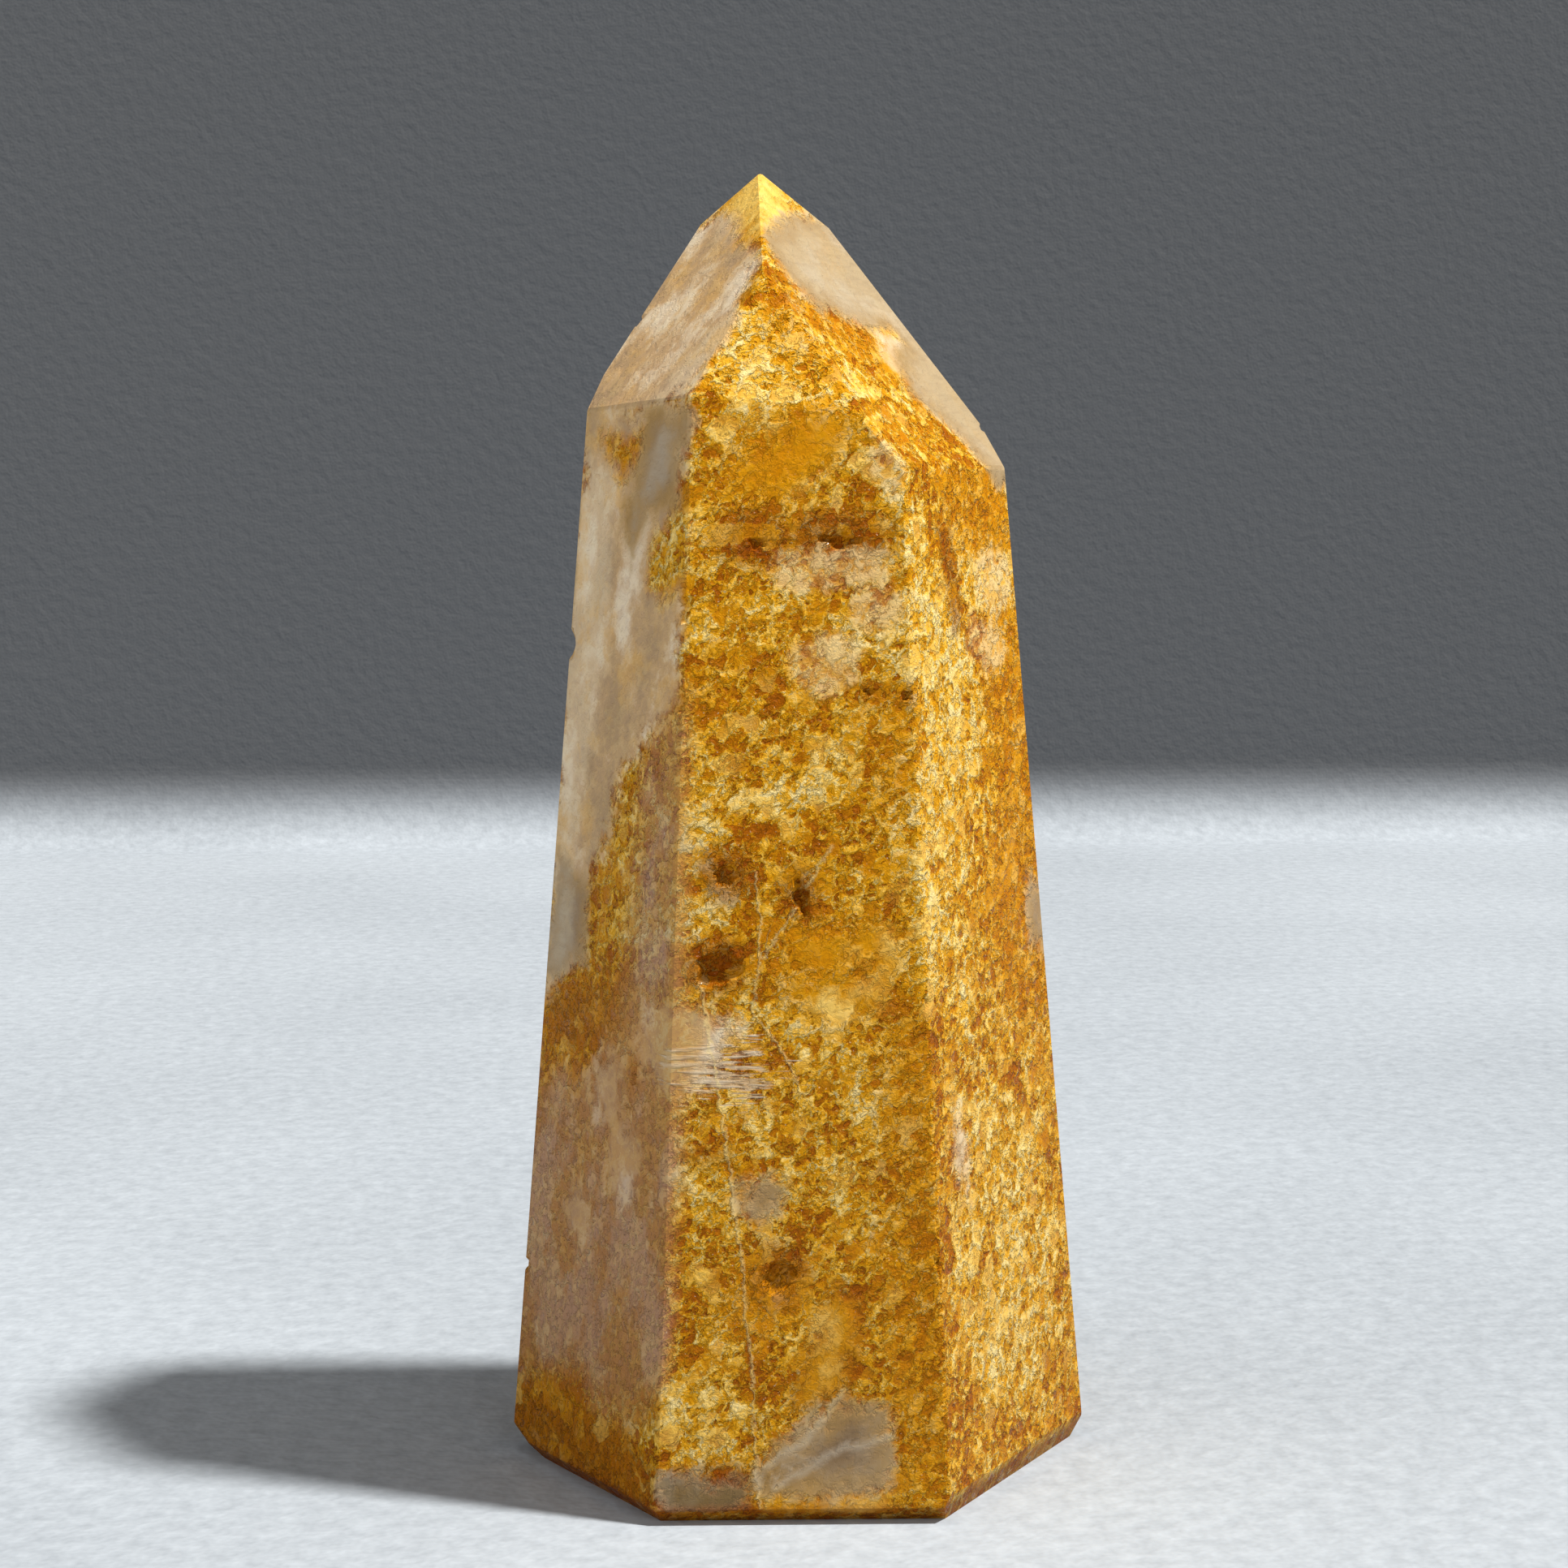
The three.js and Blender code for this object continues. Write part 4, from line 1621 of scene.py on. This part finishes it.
@dataclass
class Floor:
    """The floor, in metres: level from near to far, half wide each way, then bent up into a backdrop."""

    near: float = -0.9
    far: float = 0.29
    half: float = 1.6
    bend: float = 0.012
    rise: float = 0.9
    finish: PalePlaster = PalePlaster()

    def build(self) -> bpy.types.Object:
        """Builds the floor: a sheet that runs level, then turns up on a quarter circle.

        Returns:
            The floor's object.
        """
        arc = np.linspace(0, math.pi / 2, 25)
        along = np.concatenate([[self.near], self.far + self.bend * np.sin(arc), [self.far + self.bend]])
        height = np.concatenate([[0], self.bend * (1 - np.cos(arc)), [self.bend + self.rise]])
        aside = np.linspace(-self.half, self.half, 3)
        grid = np.stack(np.broadcast_arrays(aside[None], along[:, None], height[:, None]), axis=-1)
        skin = Skin()
        skin.add_grid(grid / MM)
        sheet = skin.weld("floor", np.zeros(3))
        sheet.data.materials.append(self.finish.material(self.bend))
        sheet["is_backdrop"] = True
        return sheet


@dataclass(frozen=True)
class Lamp:
    """A lamp that shines on the stone from a spot, in metres. A sun's spot is any on the way to it."""

    name: str
    power: float
    spot: tuple[float, float, float]
    colour: tuple[float, float, float]

    def hang(self, kind: str) -> bpy.types.Light:
        """Hangs the lamp.

        Args:
            kind: SUN or AREA.

        Returns:
            The lamp's data.
        """
        light = bpy.data.lights.new(self.name, kind)
        light.energy = self.power
        light.color = self.colour
        lamp = bpy.data.objects.new(self.name, light)
        spot = Vector(self.spot)
        lamp.matrix_world = Matrix.Translation(spot) @ spot.to_track_quat("Z", "Y").to_matrix().to_4x4()
        bpy.context.scene.collection.objects.link(lamp)
        return light


@dataclass
class Studio:
    """The floor, a soft key light with broad fills and a pale surround, and the camera.

    Angles are in degrees, and focal is in pixels of the square image, image pixels wide.
    """

    floor: Floor = field(default_factory=Floor)
    key: Lamp = Lamp("key", 4.7, tuple(outward(-14.0, 61.0)), (1.0, 0.95, 0.86))
    key_width: float = 5.0
    fills: tuple[Lamp, ...] = (
        Lamp("left_fill", 0.9, (-0.48, -0.36, 0.28), (1.0, 0.95, 0.87)),
        Lamp("front_fill", 0.35, (0.22, -0.55, 0.36), (1.0, 0.95, 0.87)),
    )
    fill_sizes: tuple[float, ...] = (0.5, 0.4)
    surround: Colour = tint(0.99, 0.94, 0.86)
    surround_power: float = 0.27
    camera_at: tuple[float, float, float] = (-0.012878, -0.199812, 0.064493)
    camera_down: float = 6.3541
    camera_turn: float = -3.3988
    focal: float = 3985.62
    image: int = 1932
    sensor: float = 36.0
    nearest: float = 0.01

    def lights(self) -> None:
        """Hangs a soft key high on the right, fills in front and to the left, and a pale surround."""
        self.key.hang("SUN").angle = math.radians(self.key_width)
        for fill, size in zip(self.fills, self.fill_sizes):
            fill.hang("AREA").size = size
        world = bpy.data.worlds.new("surround")
        world.use_nodes = True
        world.node_tree.nodes["Background"].inputs["Color"].default_value = self.surround
        world.node_tree.nodes["Background"].inputs["Strength"].default_value = self.surround_power
        bpy.context.scene.world = world

    def camera(self) -> None:
        """Sets the camera: a long lens a little above the stone's middle, tipped down."""
        lens = bpy.data.cameras.new("camera")
        lens.sensor_width = self.sensor
        lens.lens = self.sensor * self.focal / self.image
        lens.clip_start = self.nearest
        eye = bpy.data.objects.new("camera", lens)
        tip = Matrix.Rotation(math.radians(90 - self.camera_down), 4, "X")
        turn = Matrix.Rotation(math.radians(self.camera_turn), 4, "Z")
        eye.matrix_world = Matrix.Translation(self.camera_at) @ turn @ tip
        bpy.context.scene.collection.objects.link(eye)
        bpy.context.scene.camera = eye

    def build(self) -> None:
        """Builds the whole studio."""
        self.floor.build()
        self.lights()
        self.camera()
        bpy.context.scene.view_settings.view_transform = "Standard"


def plain_box(box: Any) -> list[list[float]]:
    """Turns a box of two corners into plain lists of numbers."""
    return [[float(value) for value in corner] for corner in box]


def main() -> None:
    """Builds the studio and the tower."""
    logging.basicConfig(level=logging.INFO, format="%(message)s")
    Studio().build()
    log.info("studio: floor, lights and camera")
    tower = QuartzTower().build()
    log.info("%s: %d points, %d faces", tower.name, len(tower.data.vertices), len(tower.data.polygons))
    {"cad": plain_box(CAD_BOX), "visual": plain_box(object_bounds())}


if __name__ == "__main__":
    main()
